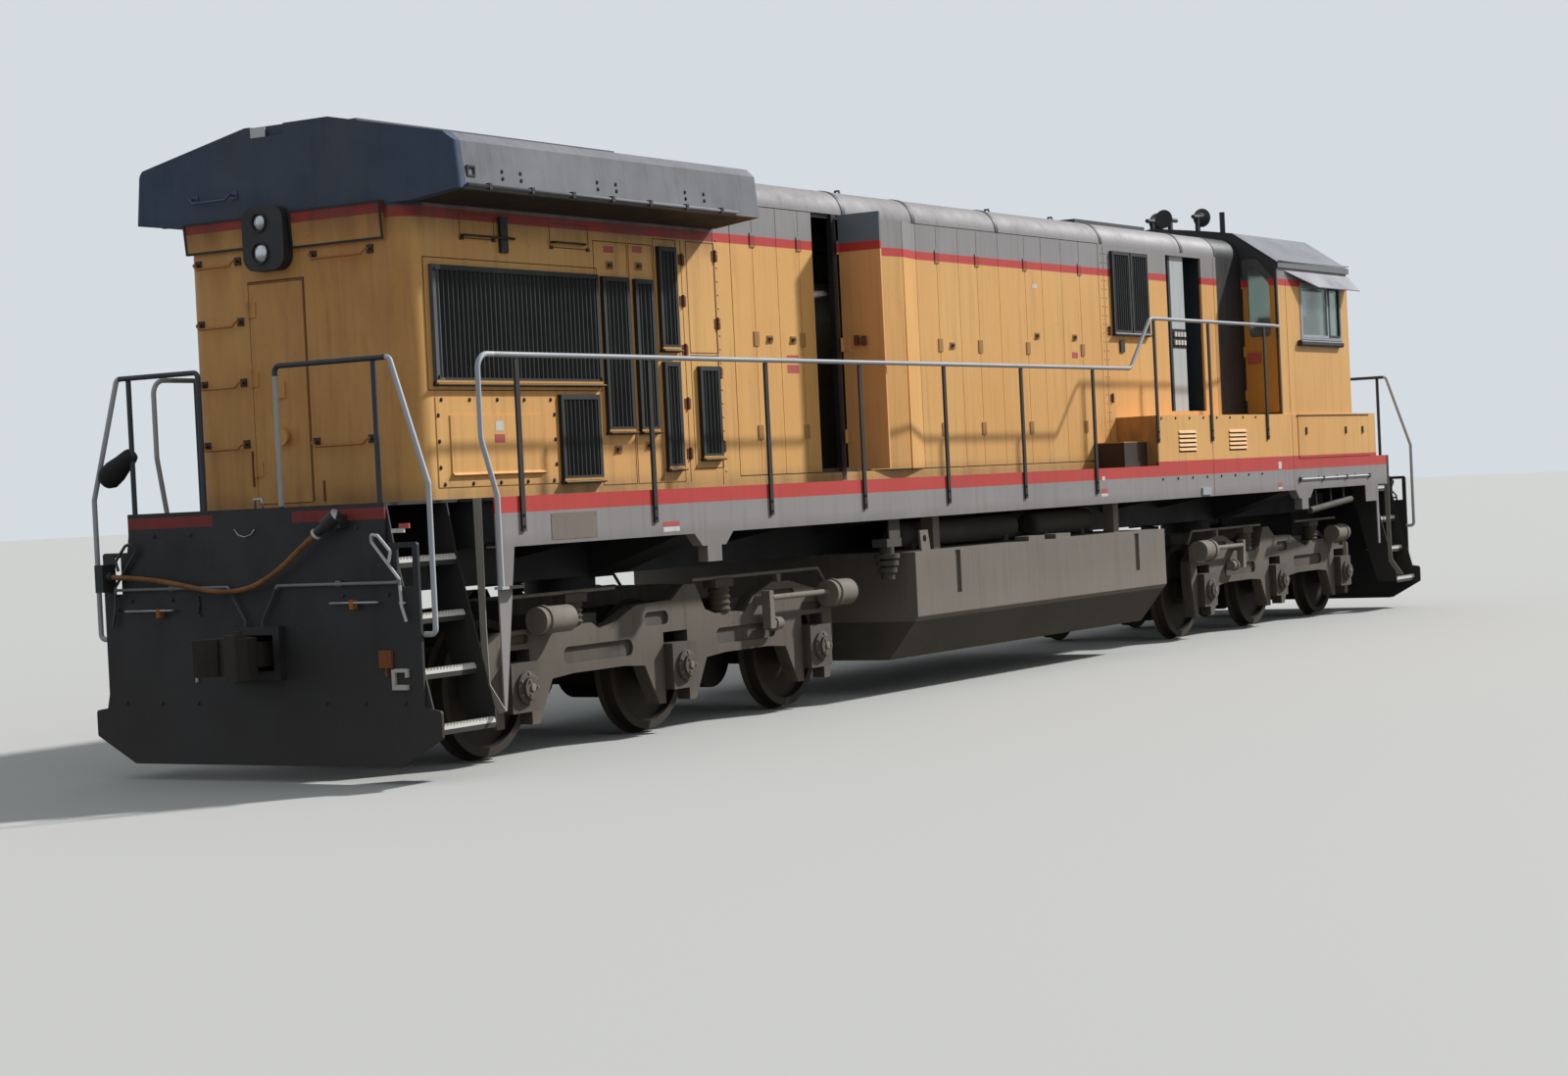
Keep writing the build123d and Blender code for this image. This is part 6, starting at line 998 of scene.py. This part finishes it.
# Cab windows: an aluminium sash round the rear pane, a dark one round the front pane and a post between them;
# window is x rear, x front, z low, z high; the rain gutter above is x, z
sash = {
    "face": 1.485, "window": (6.396, 7.635, 3.340, 3.940), "lap": 0.004, "post": (7.235, 7.300),
    "pale": (0.030, 0.022), "dark": (0.036, 0.018), "postProud": 0.022,
    "gutter": ((5.700, 4.190), (6.200, 4.196), (7.930, 4.212)), "gutterSide": 1.524, "gutterRadius": 0.009}


def makeCabTrim():
    frames, dark, pale = bmesh.new(), bmesh.new(), bmesh.new()
    x0, x1, z0, z1 = sash["window"]
    lap, post = sash["lap"], sash["post"]
    for side in (-1, 1):
        for mesh, across, (width, proud) in ((frames, (x0 - lap, post[0]), sash["pale"]),
                                             (dark, (post[0], x1 + lap), sash["dark"])):
            for spanX, spanZ in strips(across, (z0 - lap, z1 + lap), width):
                addSideBox(mesh, side, sash["face"], spanX, spanZ, proud, 0.0)
        addSideBox(dark, side, sash["face"], post, (z0, z1), sash["postProud"])
        addPipe(pale, [(x, side * sash["gutterSide"], z) for x, z in sash["gutter"]], sash["gutterRadius"], 8)
    makePiece("windowSashes", frames, aluminium)
    makePiece("windowPosts", dark, fittingsEnamel)
    makePiece("rainGutters", pale, roofEnamel, smooth=True)


makeCabTrim()
print("cab trim made")

# Small things that the photograph shows on the right side, here on both sides: among them catches on the
# lids of the raised boxes and clamps of the light bar.
# columns of dark and pale: x low, x high, z low, z high, face, how proud
small = {
    "dark": [(-8.190, -8.105, 3.700, 3.960, hoodFace, 0.026), (2.350, 2.450, 3.130, 3.255, hoodFace, 0.016)]
            + [(x, x + 0.033, 3.775, 3.800, hoodFace, 0.012) for x in (-8.643, -8.272)]
            + [(x, x + 0.033, 3.757, 3.782, hoodFace, 0.012) for x in (-7.569, -7.108)]
            + [(x, x + 0.030, 2.205, 2.290, skirtFace, 0.022) for x in (6.306, 7.580, 8.145)]
            + [(x0, x1, 1.665, 1.712, skirtFace, 0.024)
               for x0, x1 in ((6.056, 6.110), (6.780, 6.820), (7.540, 7.580), (8.300, 8.355))],
    "pale": ((3.261, 3.485, 1.590, 1.668, skirtFace, 0.018), (2.194, 3.074, 3.312, 3.334, hoodFace, 0.036)),
    # the light bar below the battery door: x rear, x front, z, radius, distance of its middle from the skirt
    "bar": (6.070, 8.340, 1.690, 0.011, 0.012),
    # the shadow gap under the lids: x rear, x front, z, and its edges below that
    "ledge": (6.061, 8.391, 2.436), "ledgeBelow": (0.012, 0.004), "ledgeProud": 0.018,
    # louvres, their gaps drawn as dark strips of painted shade: x rear, x front; lowest z, highest z, how
    # many
    "louvres": ((2.735, 3.162), (4.076, 4.537)), "louvreZ": (2.070, 2.300, 5),
    "louvreBelow": (0.013, 0.0005), "louvreProud": 0.006}


def makeSmallFittings():
    dark, pale, gaps = bmesh.new(), bmesh.new(), bmesh.new()
    low, high, count = small["louvreZ"]
    for side in (-1, 1):
        for rows, mesh in ((small["dark"], dark), (small["pale"], pale)):
            for x0, x1, z0, z1, face, proud in rows:
                addSideBox(mesh, side, face, (x0, x1), (z0, z1), proud)
        x0, x1, z, radius, off = small["bar"]
        addPipe(pale, [(x, side * (skirtFace + off), z) for x in (x0, x1)], radius)
        x0, x1, z = small["ledge"]
        addSideBox(
            gaps, side, skirtFace, (x0, x1), [z - drop for drop in small["ledgeBelow"]],
            small["ledgeProud"])
        for spanX in small["louvres"]:
            for i in range(count):
                z = low + (high - low) * i / count
                addSideBox(
                    gaps, side, skirtFace, spanX, [z - drop for drop in small["louvreBelow"]],
                    small["louvreProud"])
    makePiece("smallLatches", dark, fittingsEnamel)
    makePiece("paleFittings", pale, aluminium)
    makePiece("louvreGaps", gaps, gapShade)


makeSmallFittings()
print("small fittings made")

# Rear end: dark frames round both blank number boards, whose faces lean out from foot to head.
# columns of places: y low, y high, z low, z high
boards = {
    "places": ((0.400, 1.000, 3.801, 4.030), (-0.870, -0.020, 3.770, 4.040)), "foot": 0.022, "head": 0.045,
    "width": 0.016, "proud": 0.007, "sunk": 0.002}
# Seams round the end door along its free edge and its top, and two upright joints below: y, z, height
endDoor = {
    "edge": -0.084, "far": 0.439, "low": 1.960, "top": 3.550, "gap": 0.004, "width": 0.012, "proud": 0.003,
    "joints": ((-0.196, 2.028, 0.150), (0.470, 2.212, 0.260)), "jointWidth": 0.014, "jointProud": 0.008}
# The pale plate in the roof's notch, let in behind the wings' rear edge from one depth to the other
notchPlate = {"y": (0.200, 0.342), "z": (4.598, 4.668), "in": (0.002, 0.010)}


def onBoard(y, z, place, proud):
    # the point at y, z on the leaning face of one board, or proud of it
    share = (z - place[2]) / (place[3] - place[2])
    reach = boards["foot"] + (boards["head"] - boards["foot"]) * share
    return Vector((rear["wall"] - reach - proud, y, z))


def makeBoardFrames():
    mesh = bmesh.new()
    for place in boards["places"]:
        for (y0, y1), (z0, z1) in strips(place[:2], place[2:], boards["width"]):
            corners = ((y0, z0), (y1, z0), (y1, z1), (y0, z1))
            addRings(mesh, [[onBoard(y, z, place, proud) for y, z in corners]
                            for proud in (-boards["sunk"], boards["proud"])])
    makePiece("boardFrames", mesh, frameEnamel)


def makeEndDoorSeams():
    mesh = bmesh.new()
    edge, top, width = endDoor["edge"] - endDoor["gap"], endDoor["top"] + endDoor["gap"], endDoor["width"]
    for spanY, spanZ in (((edge - width, edge), (endDoor["low"], top + width)),
                         ((edge, endDoor["far"]), (top, top + width))):
        addRearBox(mesh, rear["wall"], spanY, spanZ, endDoor["proud"], sunk=0.001)
    for y, z, height in endDoor["joints"]:
        addRearBox(
            mesh, rear["wall"], span(y, endDoor["jointWidth"]), span(z, height), endDoor["jointProud"],
            sunk=0.001)
    makePiece("endDoorSeams", mesh, seamRust)
    mesh = bmesh.new()
    near, far = notchPlate["in"]
    addRearBox(mesh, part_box("radiator_wings")[0][0], notchPlate["y"], notchPlate["z"], -near, far)
    makePiece("roofNotchPlate", mesh, aluminium)


makeBoardFrames()
makeEndDoorSeams()
print("rear wall trimmed")

# Breakers in the pale panel of the open cabinet, which is open on the right side only: x and z of the dark
# back, which is painted shade, x and z of the middle of each lever block
breakers = {
    "face": 1.023, "back": ((3.800, 4.150), (3.200, 3.410)), "backProud": 0.004,
    "blocks": [(x, z) for z in (3.262, 3.352) for x in (3.855, 3.935, 4.015, 4.095)],
    "size": (0.046, 0.052), "proud": 0.020}


def makeBreakers():
    dark, pale = bmesh.new(), bmesh.new()
    addSideBox(dark, -1, breakers["face"], *breakers["back"], breakers["backProud"])
    width, height = breakers["size"]
    for x, z in breakers["blocks"]:
        addSideBox(pale, -1, breakers["face"], span(x, width), span(z, height), breakers["proud"],
                   sunk=-0.002)
    makePiece("breakerBack", dark, gapShade)
    makePiece("breakerBlocks", pale, whiteEnamel)


# The double latch of the open leaf, near its outer edge: y, z of its two blocks, and the pin on each
leafLatch = {
    "places": ((-1.235, 3.140), (-1.305, 3.132)), "size": (0.045, 0.085), "proud": 0.020, "sunk": 0.003,
    "pin": ((-0.001, 0.012), (0.008, 0.012), (0.010, 0.008))}


def makeLeafLatch():
    mesh = bmesh.new()
    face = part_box("engine_door_leaf")[0][0]
    width, height = leafLatch["size"]
    for y, z in leafLatch["places"]:
        addRearBox(mesh, face, span(y, width), span(z, height), leafLatch["proud"], leafLatch["sunk"])
        addTurned(mesh, (face - leafLatch["proud"], y, z), (-1, 0, 0), leafLatch["pin"])
    makePiece("leafLatch", mesh, seamRust, body="engine_door")


makeBreakers()
makeLeafLatch()
print("breakers and leaf latch made")

# A high soft sun from the front right and a pale sky, which is brighter to the camera and in reflections
light = {
    "towardsSun": (0.76, -0.457, 0.63), "sun": 3.6, "sunAngle": 3.0, "sky": "#dfe6ec", "skyLight": 0.46,
    "skySeen": 0.9, "floor": "#c9c8c4", "ballast": "#77736c", "floorSize": 400, "floorRough": 0.9}


def makeLight():
    data = bpy.data.lights.new("sun", "SUN")
    data.energy = light["sun"]
    data.angle = math.radians(light["sunAngle"])
    lamp = addObject("sun", data)
    lamp.rotation_euler = Vector(light["towardsSun"]).to_track_quat("Z", "Y").to_euler()
    world = bpy.data.worlds.new("sky")
    bpy.context.scene.world = world
    world.use_nodes = True
    tree = world.node_tree
    tree.nodes.clear()
    rays = addNode(tree, "LightPath").node.outputs
    seen = rays["Is Camera Ray"]
    for kind in ("Is Glossy Ray", "Is Transmission Ray"):
        seen = addNode(tree, "Math", (seen, rays[kind]), operation="MAXIMUM")
    strength = addNode(tree, "MapRange", (seen, 0.0, 1.0, light["skyLight"], light["skySeen"]))
    sky = addNode(tree, "Background", {"Color": linear(light["sky"]), "Strength": strength})
    addNode(tree, "OutputWorld", {"Surface": sky})


def makeFloor():
    half = light["floorSize"] / 2
    mesh = bpy.data.meshes.new("floor")
    corners = [(-half, -half, 0), (half, -half, 0), (half, half, 0), (-half, half, 0)]
    mesh.from_pydata(corners, [], [(0, 1, 2, 3)])
    floor = addObject("floor", mesh)
    # Pale to the camera; its bounce on the object is that of grey ballast
    material, tree, shader = newMaterial("paleFloor")
    seen = addNode(tree, "LightPath", output="Is Camera Ray")
    tones = {0: seen, 6: linear(light["ballast"]), 7: linear(light["floor"])}
    tree.links.new(addNode(tree, "Mix", tones, 2, data_type="RGBA"), shader.inputs["Base Color"])
    shader.inputs["Roughness"].default_value = light["floorRough"]
    mesh.materials.append(material)


makeLight()
makeFloor()
bpy.context.scene.view_settings.view_transform = "Standard"
print("light and floor made")
